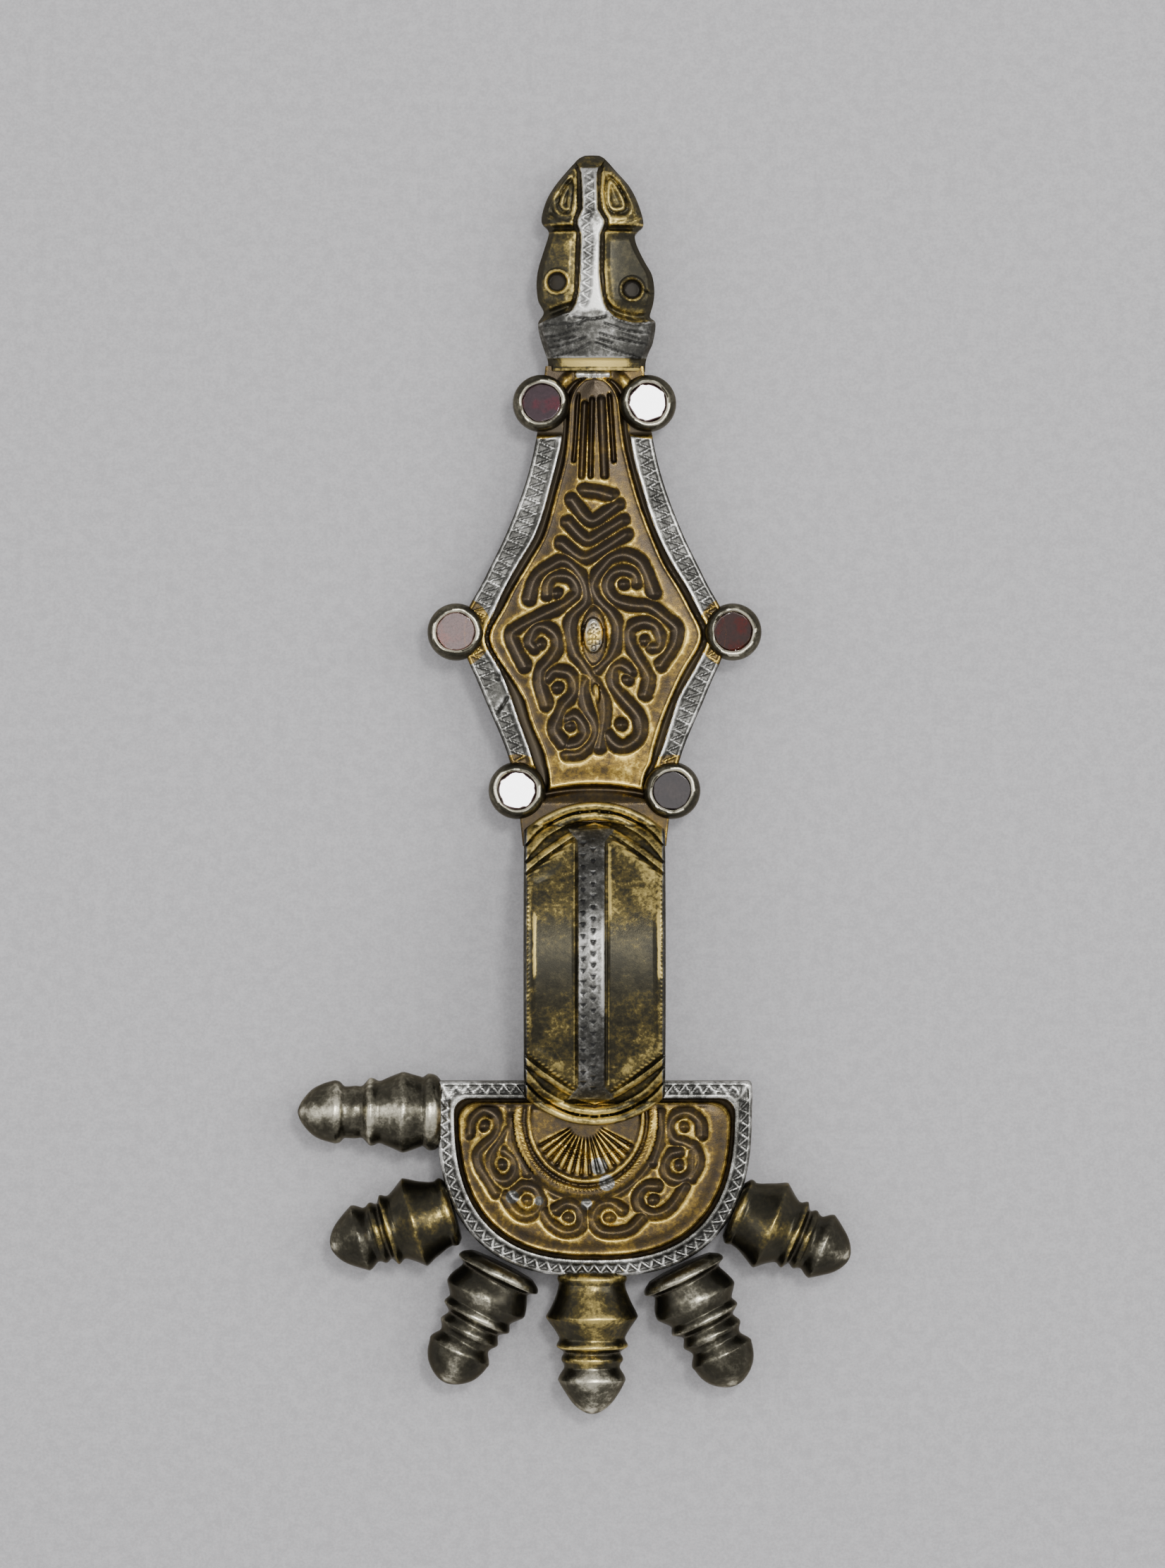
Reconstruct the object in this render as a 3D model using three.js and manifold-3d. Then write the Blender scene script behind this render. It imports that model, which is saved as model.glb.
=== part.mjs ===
// Radiate-headed bow brooch, silver partly gilded, with garnets in collets.
//
// Modelling frame, millimetres: X across, Y along with the animal head at +Y, Z up through the
// face. The backs of both plates lie at Z = 0 and the crown of the bow is over Y = 0. At the
// end the whole group is moved so that its box stands centred on the origin.

import * as THREE from "three";
import { mergeVertices } from "three/addons/utils/BufferGeometryUtils.js";
import Module from "manifold-3d";

const wasm = await Module();
wasm.setup();

// ---- driving dimensions ---------------------------------------------------------------

const PLATE = 3.0;           // thickness of the head plate and of the foot plate
const FIELD = 2.65;          // height of the gilded fields sunk in the plates
const TRENCH = 1.9;          // height of the trench floor round each field
const TRENCH_WIDTH = 0.7;
const CUT_DEPTH = 0.75;      // chip carving: depth of a V cut
const CUT_HALF = 0.6;        // and half its width at the surface
const CLEAR = 0.3;           // gap kept where two computed surfaces face each other

const BOW = { half: 8.75, outer: 21.5, inner: 18.4, drop: 10, bevel: 0.7, facets: 11 };
const BOW_RIDGE = { half: 1.8, outer: 22.4 };
const BOW_FRAME = { outer: 22.0, width: 0.8, half: 8.3, shoulder: 10.7, tip: 17.8 };
const MOULDING = { centreY: 7.5, radii: [9.8, 11.0, 12.2], width: 0.8, outer: 22.1, top: 3.7 };

const HEAD_PLATE = { half: 19.55, top: -14.6, shoulder: -18, drop: 20.9, power: 2.6 };
const RIM = 2.1;             // width of the silver rim of the head plate
const FAN = { x: -1.1, y: -19.3, rx: 8.2, ry: 8.9, ribs: 13 };

const COLLET = { outer: 3.55, bore: 2.55, top: 4.3, seat: 2.9 };
const GARNET = { radius: 2.4, shoulder: 3.95, crown: 4.25 };

const HEAD = { low: 5.6, high: 6.3, width: 10, length: 21, centreY: 86, base: -1 };

const REST = -4.5;           // level of the surface that the brooch lies on
const AXLE = { y: -19, z: -2.2, radius: 0.6, half: 6.3 };
const LUG = { x: 5.4, width: 1.2, radius: 1.9 };
const WIRE = 0.5;            // radius of the pin's wire
const COIL = { radius: 1.4, pitch: 1.3, turns: 2.5 };
const POINT = 7;             // length of the pin's tapered point
const CATCH = { y: 50, length: 14, wall: 0.9, gap: 0.7, lip: 0.4, level: -3.1 };

const KNOB_AXIS = 1.0;       // height of the knobs' axes
const ROUND = 12;            // sides of a knob

// ---- solids ---------------------------------------------------------------------------

function solidOf(geometry) {
  const bare = new THREE.BufferGeometry();
  bare.setAttribute("position", geometry.getAttribute("position").clone());
  if (geometry.index) bare.setIndex(geometry.index.clone());
  const merged = mergeVertices(bare, 1e-4);
  const index = merged.index.array;
  const kept = [];
  for (let i = 0; i < index.length; i += 3) {
    const [a, b, c] = [index[i], index[i + 1], index[i + 2]];
    if (a !== b && b !== c && c !== a) kept.push(a, b, c);
  }
  const vertProperties = new Float32Array(merged.getAttribute("position").array);
  const triVerts = Uint32Array.from(kept);
  return new wasm.Manifold(new wasm.Mesh({ numProp: 3, vertProperties, triVerts }));
}

function geometryOf(solid) {
  const mesh = solid.getMesh();
  const geometry = new THREE.BufferGeometry();
  geometry.setAttribute("position", new THREE.BufferAttribute(mesh.vertProperties, 3));
  geometry.setIndex(new THREE.BufferAttribute(mesh.triVerts, 1));
  geometry.computeVertexNormals();
  return geometry;
}

const joined = (solids) => solids.reduce((whole, solid) => whole.add(solid));
const cutBy = (solid, tools) => tools.reduce((rest, tool) => rest.subtract(tool), solid);

// an upright prism on a plan outline
function prism(shape, low, high, curveSegments = 12) {
  const options = { depth: high - low, bevelEnabled: false, curveSegments };
  return solidOf(new THREE.ExtrudeGeometry(shape, options).translate(0, 0, low));
}

function block(x0, x1, y0, y1, z0, z1) {
  const box = new THREE.BoxGeometry(x1 - x0, y1 - y0, z1 - z0);
  return solidOf(box.translate((x0 + x1) / 2, (y0 + y1) / 2, (z0 + z1) / 2));
}

function drum(x, y, low, high, radius, sides = 24, tip = radius) {
  const drumShape = new THREE.CylinderGeometry(radius, tip, high - low, sides);
  return solidOf(drumShape.rotateX(Math.PI / 2).translate(x, y, (low + high) / 2));
}

// a plan outline from points on its right edge, mirrored to the left
function mirrored(points) {
  const left = points.map((p) => new THREE.Vector2(-p.x, p.y)).reverse();
  return new THREE.Shape([...points, ...left]);
}

const vectors = (pairs) => pairs.map(([x, y]) => new THREE.Vector2(x, y));
const smooth = (pairs, steps) => new THREE.SplineCurve(vectors(pairs)).getPoints(steps);

// a V cut along a plan line, sunk below the surface at height top
function cut(points, top, half = CUT_HALF, depth = CUT_DEPTH, step = 2.2) {
  const spatial = points.map((p) => new THREE.Vector3(p.x, p.y, top));
  const path = new THREE.CatmullRomCurve3(spatial, false, "centripetal");
  const steps = Math.max(1, Math.round(path.getLength() / step));
  const rise = 0.2;
  const lip = half * (1 + rise / depth);
  const section = new THREE.Shape(vectors([[depth, 0], [-rise, lip], [-rise, -lip]]));
  const options = { steps, bevelEnabled: false, extrudePath: path };
  return solidOf(new THREE.ExtrudeGeometry(section, options));
}

// ---- chip carving ---------------------------------------------------------------------

// A scroll is a pit with a groove that winds round it and then runs off through a few points.
// Angles are in degrees, anticlockwise from +X.
function scrollPath({ at, radii, turn, tail }) {
  const steps = Math.ceil(Math.abs(turn[1] - turn[0]) / 45);
  const points = [];
  for (let i = 0; i <= steps; i++) {
    const t = i / steps;
    const angle = THREE.MathUtils.degToRad(turn[0] + (turn[1] - turn[0]) * t);
    const radius = radii[0] + (radii[1] - radii[0]) * t;
    points.push(new THREE.Vector2(at[0] + radius * Math.cos(angle), at[1] + radius * Math.sin(angle)));
  }
  return [...points, ...vectors(tail)];
}

const pit = ([x, y], radius, top) => drum(x, y, top - CUT_DEPTH, top + 0.05, radius, 7, 0.05);

// the foot's scrolls: two unlike halves, as they were cut freehand
const FOOT_SCROLLS = [
  { at: [-4.7, 46.0], radii: [1.2, 2.6], turn: [190, -20],
    tail: [[-4.1, 44.4], [-7.2, 42.9], [-10.1, 41.0], [-9.7, 39.1], [-8.6, 37.0]] },
  { at: [-6.7, 39.7], radii: [1.2, 2.1], turn: [200, -30],
    tail: [[-5.8, 37.4], [-6.7, 35.7], [-6.6, 34.4], [-5.9, 32.2]] },
  { at: [-4.6, 34.3], radii: [1.5, 2.2], turn: [135, -20],
    tail: [[-3.9, 31.8], [-4.7, 29.7], [-3.8, 27.3]] },
  { at: [-3.0, 29.6], radii: [1.0, 2.2], turn: [110, -60], tail: [[-3.1, 27.1]] },
  { at: [3.7, 47.1], radii: [1.7, 2.2], turn: [0, 235],
    tail: [[3.6, 44.8], [6.6, 44.4], [9.6, 42.3], [10.3, 40.9], [9.7, 39.2], [8.2, 37.1]] },
  { at: [6.3, 40.1], radii: [1.2, 2.3], turn: [-45, 175],
    tail: [[4.8, 39.1], [6.6, 35.9], [6.3, 33.4]] },
  { at: [4.1, 35.3], radii: [1.1, 2.0], turn: [70, 215],
    tail: [[3.9, 32.6], [5.6, 30.2], [5.2, 27.9], [3.1, 27.0], [1.6, 28.4]] },
];

const FOOT_PITS = [[3.3, 29.7]];

const FOOT_LINES = [
  [[-8.1, 45.3], [-7.2, 47.9], [-5.3, 49.5], [-2.8, 49.5], [-1.3, 47.4], [-1.1, 45.0], [-2.7, 43.2],
    [-3.1, 41.1], [-2.4, 38.6], [-0.4, 35.7]],
  [[7.4, 46.0], [6.2, 48.9], [3.9, 50.8], [1.0, 49.2], [-0.2, 46.8], [1.0, 44.6], [2.9, 42.0],
    [2.6, 39.3], [1.0, 37.1], [-0.1, 35.5]],
  [[-1.0, 35.0], [-1.3, 32.8], [0.0, 30.2], [0.1, 28.0], [-1.2, 26.4], [-3.3, 26.0]],
  [[0.2, 34.7], [1.2, 32.3], [1.0, 28.5], [0.6, 26.9]],
  [[-2.7, 57.6], [-0.2, 55.1], [2.8, 57.0]],
  [[-3.2, 54.8], [-0.6, 52.7], [3.4, 54.9]],
  [[-4.0, 52.2], [-0.9, 50.5], [3.8, 53.2]],
  [[-1.0, 58.8], [2.1, 58.0]],
];

const FLUTES = [-1.75, -0.95, 1.05, 1.95];
const FLUTE_SPAN = [60.2, 68.6];

function footCarving() {
  const scrolls = FOOT_SCROLLS.map((scroll) => cut(scrollPath(scroll), FIELD));
  const pits = [...FOOT_SCROLLS.map(({ at }) => at), ...FOOT_PITS].map((at) => pit(at, 1.0, FIELD));
  const lines = FOOT_LINES.map((line) => cut(vectors(line), FIELD));
  const flutes = FLUTES.map((x) => cut(vectors(FLUTE_SPAN.map((y) => [x, y])), FIELD, 0.4, 0.5, 9));
  return [...scrolls, ...pits, ...lines, ...flutes];
}

// the head plate's scrolls run down both sides of the fan and meet under it
const HEAD_SCROLLS = [
  [[-13.6, -20.2], [-11.5, -25.1], [-8.1, -29.1], [-3.0, -31.7]],
  [[11.1, -20.0], [10.5, -25.1], [7.2, -29.1], [2.3, -31.7]],
];

function fanCurve(offset, from, to, count) {
  const points = [];
  for (let i = 0; i <= count; i++) {
    const angle = THREE.MathUtils.degToRad(from + ((to - from) * i) / count);
    const x = FAN.x + (FAN.rx + offset) * Math.cos(angle);
    points.push(new THREE.Vector2(x, FAN.y + (FAN.ry + offset) * Math.sin(angle)));
  }
  return points;
}

function headCarving() {
  const cuts = [];
  const centre = new THREE.Vector2(FAN.x, FAN.y);
  for (const row of HEAD_SCROLLS) {
    const pits = vectors(row);
    pits.forEach((here, i) => {
      const out = here.clone().sub(centre).normalize();
      const outward = THREE.MathUtils.radToDeg(out.angle());
      const hand = here.x < centre.x ? -1 : 1;
      const turn = [outward - 60 * hand, outward + 200 * hand];
      const ring = { at: [here.x, here.y], radii: [1.3, 1.9], turn, tail: [] };
      cuts.push(pit([here.x, here.y], 0.95, FIELD));
      cuts.push(cut(scrollPath(ring), FIELD, 0.55, 0.6));
      const next = pits[i + 1];
      if (next) {
        const nextOut = next.clone().sub(centre).normalize();
        const middle = here.clone().add(next).multiplyScalar(0.5);
        const start = here.clone().addScaledVector(out, -2.5);
        const end = next.clone().addScaledVector(nextOut, 2.7);
        cuts.push(cut([start, middle, end], FIELD, 0.6));
      }
    });
  }
  for (const offset of [0.7, -0.5]) {
    cuts.push(cut(fanCurve(offset, -176, -4, 10), FIELD, 0.5, 0.55, 2.8));
  }
  for (let i = 0; i < FAN.ribs; i++) {
    const angle = THREE.MathUtils.degToRad(-90 + (i - (FAN.ribs - 1) / 2) * 9.5);
    const [dx, dy] = [Math.cos(angle), Math.sin(angle)];
    const rib = [[3.0, 2.6], [6.4, 7.1]].map(([rx, ry]) => [FAN.x + rx * dx, FAN.y + ry * dy]);
    cuts.push(cut(vectors(rib), FIELD, 0.3, 0.45, 9));
  }
  return cuts;
}

// ---- plates ---------------------------------------------------------------------------

// right-hand edges of the foot plate, of its border's inner side and of its field
const FOOT_EDGE = [[8.9, 14.6], [9.6, 20.5], [10.9, 26.3], [14.1, 34.0], [16.6, 41.2], [13.7, 47.7],
  [10.9, 53.5], [8.5, 59.9], [7.1, 66.0], [6.1, 74.2]];
const BORDER_EDGE = [[6.8, 22.2], [7.5, 25.0], [8.2, 27.0], [9.3, 30.1], [10.4, 33.2], [12.0, 36.4],
  [13.5, 39.4], [13.8, 41.2], [12.7, 44.0], [11.4, 46.6], [9.6, 49.7], [7.9, 52.9], [6.6, 56.0],
  [5.6, 59.1], [4.8, 62.2], [4.2, 65.5], [3.9, 69.4], [3.1, 72.0], [1.6, 73.3]];
const FIELD_EDGE = [[5.7, 22.4], [6.4, 25.0], [6.9, 27.0], [8.0, 30.1], [9.1, 33.2], [10.9, 36.4],
  [12.6, 39.3], [12.8, 41.2], [11.5, 44.0], [10.2, 46.6], [8.3, 49.7], [6.7, 52.9], [5.6, 56.0],
  [4.7, 59.1], [3.9, 62.2], [3.4, 65.5], [3.1, 69.4], [2.4, 71.6], [1.1, 72.6]];

function footPlate() {
  const edge = smooth(FOOT_EDGE, 20);
  const plate = prism(mirrored(edge), 0, PLATE);
  const trench = prism(mirrored(vectors(BORDER_EDGE)), TRENCH, PLATE + 1);
  const raised = prism(mirrored(vectors(FIELD_EDGE)), TRENCH - 0.2, FIELD);
  const boss = drum(-0.1, 40.8, TRENCH - 0.2, FIELD + 0.15, 1.3, 12);
  const hollow = prism(new THREE.Shape(vectors([[-0.2, 44.6], [-2.0, 40.8], [-0.3, 36.2], [1.9, 40.8]])),
    TRENCH, PLATE + 1);
  return cutBy(plate, [trench]).add(cutBy(raised, [...footCarving(), hollow])).add(boss);
}

function headPlateShape(inset) {
  const half = HEAD_PLATE.half - inset;
  const drop = HEAD_PLATE.drop - inset;
  const corner = inset ? 1.6 : 0.4;
  const top = HEAD_PLATE.top - inset;
  const points = vectors([[half - corner, top], [half, top - corner]]);
  const steps = 11;
  for (let i = 0; i <= steps; i++) {
    const angle = (i / steps) * (Math.PI / 2);
    const x = half * Math.cos(angle) ** (2 / HEAD_PLATE.power);
    const y = HEAD_PLATE.shoulder - drop * Math.sin(angle) ** (2 / HEAD_PLATE.power);
    if (y < top - corner - 0.2) points.push(new THREE.Vector2(Math.max(x, 0), y));
  }
  const left = points.slice(0, -1).map((p) => new THREE.Vector2(-p.x, p.y)).reverse();
  return new THREE.Shape([...points, ...left]);
}

function headPlate() {
  const plate = prism(headPlateShape(0), 0, PLATE);
  const trench = prism(headPlateShape(RIM), TRENCH, PLATE + 1);
  const raised = prism(headPlateShape(RIM + TRENCH_WIDTH), TRENCH - 0.2, FIELD);
  return cutBy(plate, [trench]).add(cutBy(raised, headCarving()));
}

// ---- bow ------------------------------------------------------------------------------

// a half drum lying across the brooch, standing on the plane of the plates' backs
function halfDrum(radius, half, bevel) {
  const shape = new THREE.Shape();
  const foot = Math.asin(BOW.drop / radius);
  shape.absarc(0, -BOW.drop, radius, foot, Math.PI - foot, false);
  const depth = 2 * (half - bevel);
  const options = { depth, curveSegments: BOW.facets, bevelEnabled: bevel > 0,
    bevelThickness: bevel, bevelSize: bevel, bevelOffset: -bevel, bevelSegments: 1 };
  const geometry = new THREE.ExtrudeGeometry(shape, options).translate(0, 0, -depth / 2);
  const [x, y, z] = [0, 1, 2].map((axis) => new THREE.Vector3().setComponent(axis, 1));
  return solidOf(geometry.applyMatrix4(new THREE.Matrix4().makeBasis(y, z, x)));
}

function crescent(centreY, radius, width, side) {
  const reach = Math.asin((BOW.half - 0.15) / (radius - width / 2));
  const middle = (side * Math.PI) / 2;
  const shape = new THREE.Shape();
  shape.absarc(0, centreY, radius + width / 2, middle - reach, middle + reach, false);
  shape.absarc(0, centreY, radius - width / 2, middle + reach, middle - reach, true);
  return shape;
}

// the raised frame round the sunk fields is a long hexagon
function hexagon(inset) {
  const half = BOW_FRAME.half - inset;
  const shoulder = BOW_FRAME.shoulder - inset * 0.4;
  const tip = BOW_FRAME.tip - inset * 1.3;
  return new THREE.Shape(vectors([[half, shoulder], [0, tip], [-half, shoulder],
    [-half, -shoulder], [0, -tip], [half, -shoulder]]));
}

function bow() {
  const raised = halfDrum(BOW_FRAME.outer, BOW.half - 0.1, 0);
  const frame = prism(hexagon(0), 0.5, 14).subtract(prism(hexagon(BOW_FRAME.width), 0, 15));
  const ridge = block(-BOW_RIDGE.half, BOW_RIDGE.half, -17.3, 17.3, 0.5, 14);
  const slab = block(-BOW.half + 0.1, BOW.half - 0.1, -21, 21, 0.4, MOULDING.top);
  const high = halfDrum(MOULDING.outer, BOW.half - 0.1, 0).add(slab);
  const solids = [halfDrum(BOW.outer, BOW.half, BOW.bevel), raised.intersect(frame),
    halfDrum(BOW_RIDGE.outer, BOW.half, 0).intersect(ridge)];
  for (const side of [-1, 1]) {
    for (const radius of MOULDING.radii) {
      const strip = crescent(side * MOULDING.centreY, radius, MOULDING.width, side);
      solids.push(high.intersect(prism(strip, 0.5, 14, 5)));
    }
  }
  return joined(solids).subtract(halfDrum(BOW.inner, BOW.half + 1, 0));
}

// ---- animal head ----------------------------------------------------------------------

const HEAD_EDGE = [[6.1, 73.6], [6.2, 74.8], [6.8, 77.2], [7.4, 79.6], [6.65, 80.6], [7.2, 82.2],
  [7.45, 84.2], [7.1, 86.5], [6.1, 89.0], [5.35, 90.4], [5.7, 91.2], [6.45, 91.9], [6.25, 94.0],
  [5.2, 96.6], [3.7, 98.7], [1.8, 100.1], [0.6, 100.45]];
const NOSE_BAND = [[1.0, 99.2], [1.1, 93.6], [2.0, 91.8], [1.15, 90.0], [1.1, 85.0], [1.6, 82.0],
  [3.4, 79.9]];
const CHEEK = [[1.7, 89.6], [4.8, 90.2], [5.6, 88.9], [6.7, 86.3], [6.95, 84.0], [6.6, 82.2],
  [5.6, 80.9], [4.2, 81.2], [2.6, 82.2], [1.8, 84.2]];
const LOBE = [[2.7, 98.5], [4.7, 96.2], [6.0, 92.9], [4.6, 92.0], [2.6, 91.9], [1.7, 94.0], [1.6, 96.6]];
const LOBE_CENTRE = [3.4, 94.3];
const LOBE_SIZES = { ring: 1, hollow: 0.78, heart: 0.5 };   // share of the nostril's outline
const COLLAR = { low: 75.5, rows: 3, pitch: 1.5, width: 1.0, fall: 1.0, half: 6.2, widening: 0.3 };
const EYES = [{ x: -4.5, y: 84.5, radius: 1.35 }, { x: 4.6, y: 83.6, radius: 1.3 }];

function dome(height) {
  const ball = new THREE.SphereGeometry(1, 12, 8);
  return solidOf(ball.scale(HEAD.width, HEAD.length, height).translate(0, HEAD.centreY, HEAD.base));
}

function lobe(side, size) {
  const corners = LOBE.map(([x, y]) => new THREE.Vector3(
    side * (LOBE_CENTRE[0] + (x - LOBE_CENTRE[0]) * size), LOBE_CENTRE[1] + (y - LOBE_CENTRE[1]) * size, 0));
  const points = new THREE.CatmullRomCurve3(corners, true, "centripetal").getPoints(10).slice(0, -1);
  return new THREE.Shape(points.map((p) => new THREE.Vector2(p.x, p.y)));
}

function animalHead() {
  const top = 8;
  const upper = dome(HEAD.high);
  const raise = (solid) => upper.intersect(solid);
  let solid = prism(mirrored(vectors(HEAD_EDGE)), 0, top).intersect(dome(HEAD.low));
  solid = solid.add(raise(prism(mirrored(vectors(NOSE_BAND)), 1, top)));
  for (const side of [-1, 1]) {
    const cheek = new THREE.Shape(vectors(CHEEK.map(([x, y]) => [side * x, y])));
    solid = solid.add(raise(prism(cheek, 1, top)));
    const ring = prism(lobe(side, LOBE_SIZES.ring), 1, top);
    solid = solid.add(raise(ring.subtract(prism(lobe(side, LOBE_SIZES.hollow), 0, top + 1))));
    solid = solid.add(raise(prism(lobe(side, LOBE_SIZES.heart), 1, top)));
  }
  for (let row = 0; row < COLLAR.rows; row++) {
    const low = COLLAR.low + row * COLLAR.pitch;
    const high = low + COLLAR.width;
    const half = COLLAR.half + row * COLLAR.widening;
    const chevron = vectors([[0, high], [half, high - COLLAR.fall], [half, low - COLLAR.fall],
      [0, low], [-half, low - COLLAR.fall], [-half, high - COLLAR.fall]]);
    solid = solid.add(raise(prism(new THREE.Shape(chevron), 1, top)));
  }
  for (const eye of EYES) {
    const rim = drum(eye.x, eye.y, 1, 4.75, eye.radius + 0.35, 12);
    solid = solid.add(rim).subtract(drum(eye.x, eye.y, 3.7, top, eye.radius, 12));
  }
  return solid;
}

// ---- collets and garnets --------------------------------------------------------------

const COLLETS = {
  top_left: [-6.6, 69.6], top_right: [6.6, 69.6],
  middle_left: [-17.2, 41.2], middle_right: [17.2, 41.2],
  bottom_left: [-9.6, 21.5], bottom_right: [9.6, 21.5],
};

function garnet() {
  const profile = [[0, COLLET.seat], [GARNET.radius, COLLET.seat], [GARNET.radius, GARNET.shoulder],
    [GARNET.radius * 0.86, GARNET.crown], [0, GARNET.crown + 0.1]];
  const lathe = new THREE.LatheGeometry(vectors(profile), 12);
  return lathe.rotateX(Math.PI / 2);
}

// ---- knobs ----------------------------------------------------------------------------

// profile: distance from the plate's edge, radius
const BULB_KNOB = [[0, 4.2], [1.5, 4.2], [5.0, 5.7], [7.8, 4.1], [8.8, 4.4], [9.4, 3.6],
  [10.4, 3.9], [11.3, 3.5], [12.8, 4.2], [15.4, 2.7], [17.2, 0]];
const RINGED_KNOB = [[0, 5.1], [0.7, 5.4], [1.4, 4.5], [4.0, 5.3], [5.8, 4.2], [6.7, 4.5],
  [7.5, 3.5], [8.8, 3.9], [9.8, 3.3], [11.4, 4.0], [14.0, 3.1], [15.8, 0]];
const SIDE_KNOB = [[0, 4.5], [1.3, 4.8], [2.2, 4.4], [4.3, 5.0], [7.2, 3.9], [8.4, 4.2],
  [9.4, 3.2], [11.5, 3.2], [12.6, 3.9], [15.4, 2.8], [17.4, 0]];

const KNOBS = {
  side: { at: [-19.55, -18.5], turn: 180, profile: SIDE_KNOB },
  lower_left: { at: [-18.0, -30.9], turn: 196.4, profile: BULB_KNOB, reach: 0.9 },
  left: { at: [-11.7, -38.0], turn: 243.6, profile: RINGED_KNOB },
  middle: { at: [-0.3, -38.9], turn: 270, profile: BULB_KNOB },
  right: { at: [10.8, -38.3], turn: 296, profile: RINGED_KNOB },
  lower_right: { at: [17.8, -30.8], turn: 337, profile: BULB_KNOB, reach: 0.88 },
};

function knob(profile, reach = 1) {
  const points = vectors(profile.map(([along, radius]) => [radius, CLEAR + along * reach]));
  const closed = [new THREE.Vector2(0, points[0].y), ...points];
  const lathe = new THREE.LatheGeometry(closed, ROUND);
  return lathe.rotateY(Math.PI / ROUND).rotateZ(-Math.PI / 2);
}

// ---- back: lugs, axle, pin and catch --------------------------------------------------

function lugs() {
  return [-1, 1].map((side) => {
    const shape = new THREE.Shape(vectors([[-LUG.radius, 0.5], [-LUG.radius, AXLE.z], [-1.2, REST + 0.4],
      [1.2, REST + 0.4], [LUG.radius, AXLE.z], [LUG.radius, 0.5]]));
    const hole = new THREE.Path().absarc(0, AXLE.z, AXLE.radius + 0.15, 0, 2 * Math.PI, true);
    shape.holes.push(hole);
    const options = { depth: LUG.width, bevelEnabled: false, curveSegments: 12 };
    const geometry = new THREE.ExtrudeGeometry(shape, options);
    geometry.rotateX(Math.PI / 2).rotateZ(Math.PI / 2);
    return solidOf(geometry.translate(side * LUG.x - LUG.width / 2, AXLE.y, 0));
  });
}

// a wall beside the pin's point with a short lip turned towards it
function catchPlate() {
  const [y0, y1] = [CATCH.y - CATCH.length / 2, CATCH.y + CATCH.length / 2];
  const near = WIRE + CATCH.gap;
  const wall = block(near, near + CATCH.wall, y0, y1, REST, 0.5);
  const lip = block(near - CATCH.lip, near + CATCH.wall, y0, y1, REST, REST + CATCH.lip);
  return wall.add(lip);
}

// a wire along a path that starts at the axle
function wire(points, steps) {
  const path = new THREE.CatmullRomCurve3(points, false, "centripetal");
  const section = new THREE.Shape().absarc(0, 0, WIRE, 0, 2 * Math.PI, false);
  const options = { steps, bevelEnabled: false, curveSegments: 3, extrudePath: path };
  return solidOf(new THREE.ExtrudeGeometry(section, options));
}

// the pin: a coil round the axle that runs out along the back into a straight shank
function pin() {
  const perTurn = 10;
  const coil = [];
  for (let i = 0; i <= perTurn * COIL.turns; i++) {
    const angle = Math.PI / 2 + (i / perTurn) * 2 * Math.PI;
    const x = COIL.pitch * (i / perTurn - COIL.turns);
    coil.push(new THREE.Vector3(x, COIL.radius * Math.cos(angle), COIL.radius * Math.sin(angle)));
  }
  const level = CATCH.level - AXLE.z;
  const tip = CATCH.y + CATCH.length / 2 - AXLE.y - 1;
  const route = [[-0.6, -COIL.radius + 0.02], [4, -COIL.radius], [14, level - 0.1], [40, level],
    [tip - POINT, level]];
  const shank = wire(route.map(([y, z]) => new THREE.Vector3(0, y, z)), 7);
  const taper = new THREE.CylinderGeometry(0.12, WIRE, POINT, 6).translate(0, tip - POINT / 2, level);
  return wire(coil, 26).add(shank).add(solidOf(taper)).translate([0, AXLE.y, AXLE.z]);
}

function axle() {
  const rod = new THREE.CylinderGeometry(AXLE.radius, AXLE.radius, 2 * AXLE.half, 16);
  return rod.rotateZ(Math.PI / 2).translate(0, AXLE.y, AXLE.z);
}

// ---- assembly -------------------------------------------------------------------------

const silver = new THREE.MeshStandardMaterial({ color: 0x8d8878, metalness: 1, roughness: 0.4 });
const gilt = new THREE.MeshStandardMaterial({ color: 0x9a8148, metalness: 1, roughness: 0.4 });
const stone = new THREE.MeshStandardMaterial({ color: 0x4a1420, metalness: 0, roughness: 0.1 });
const iron = new THREE.MeshStandardMaterial({ color: 0x5a4a3c, metalness: 0.7, roughness: 0.7 });

function named(name, geometry, material) {
  const mesh = new THREE.Mesh(geometry, material);
  mesh.name = name;
  return mesh;
}

function body() {
  let solid = joined([footPlate(), headPlate(), bow(), animalHead(), ...lugs(), catchPlate()]);
  for (const [x, y] of Object.values(COLLETS)) {
    solid = solid.add(drum(x, y, 0, COLLET.top, COLLET.outer, 16));
    solid = solid.subtract(drum(x, y, COLLET.seat, COLLET.top + 1, COLLET.bore, 16));
  }
  return solid;
}

const brooch = new THREE.Group();
brooch.add(named("body", geometryOf(body()), silver));

for (const [name, [x, y]] of Object.entries(COLLETS)) {
  const mesh = named(`garnet_${name}`, garnet(), stone);
  mesh.position.set(x, y, 0);
  brooch.add(mesh);
}

for (const [name, { at, turn, profile, reach }] of Object.entries(KNOBS)) {
  const mesh = named(`knob_${name}`, knob(profile, reach), gilt);
  mesh.position.set(at[0], at[1], KNOB_AXIS);
  mesh.rotation.z = THREE.MathUtils.degToRad(turn);
  brooch.add(mesh);
}

brooch.add(named("spring_axle", axle(), iron));
brooch.add(named("pin", geometryOf(pin()), iron));

brooch.updateMatrixWorld(true);
const box = new THREE.Box3().setFromObject(brooch, true);
const centre = box.getCenter(new THREE.Vector3());
brooch.position.set(-centre.x, -centre.y, -box.min.z);

export default brooch;
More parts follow.
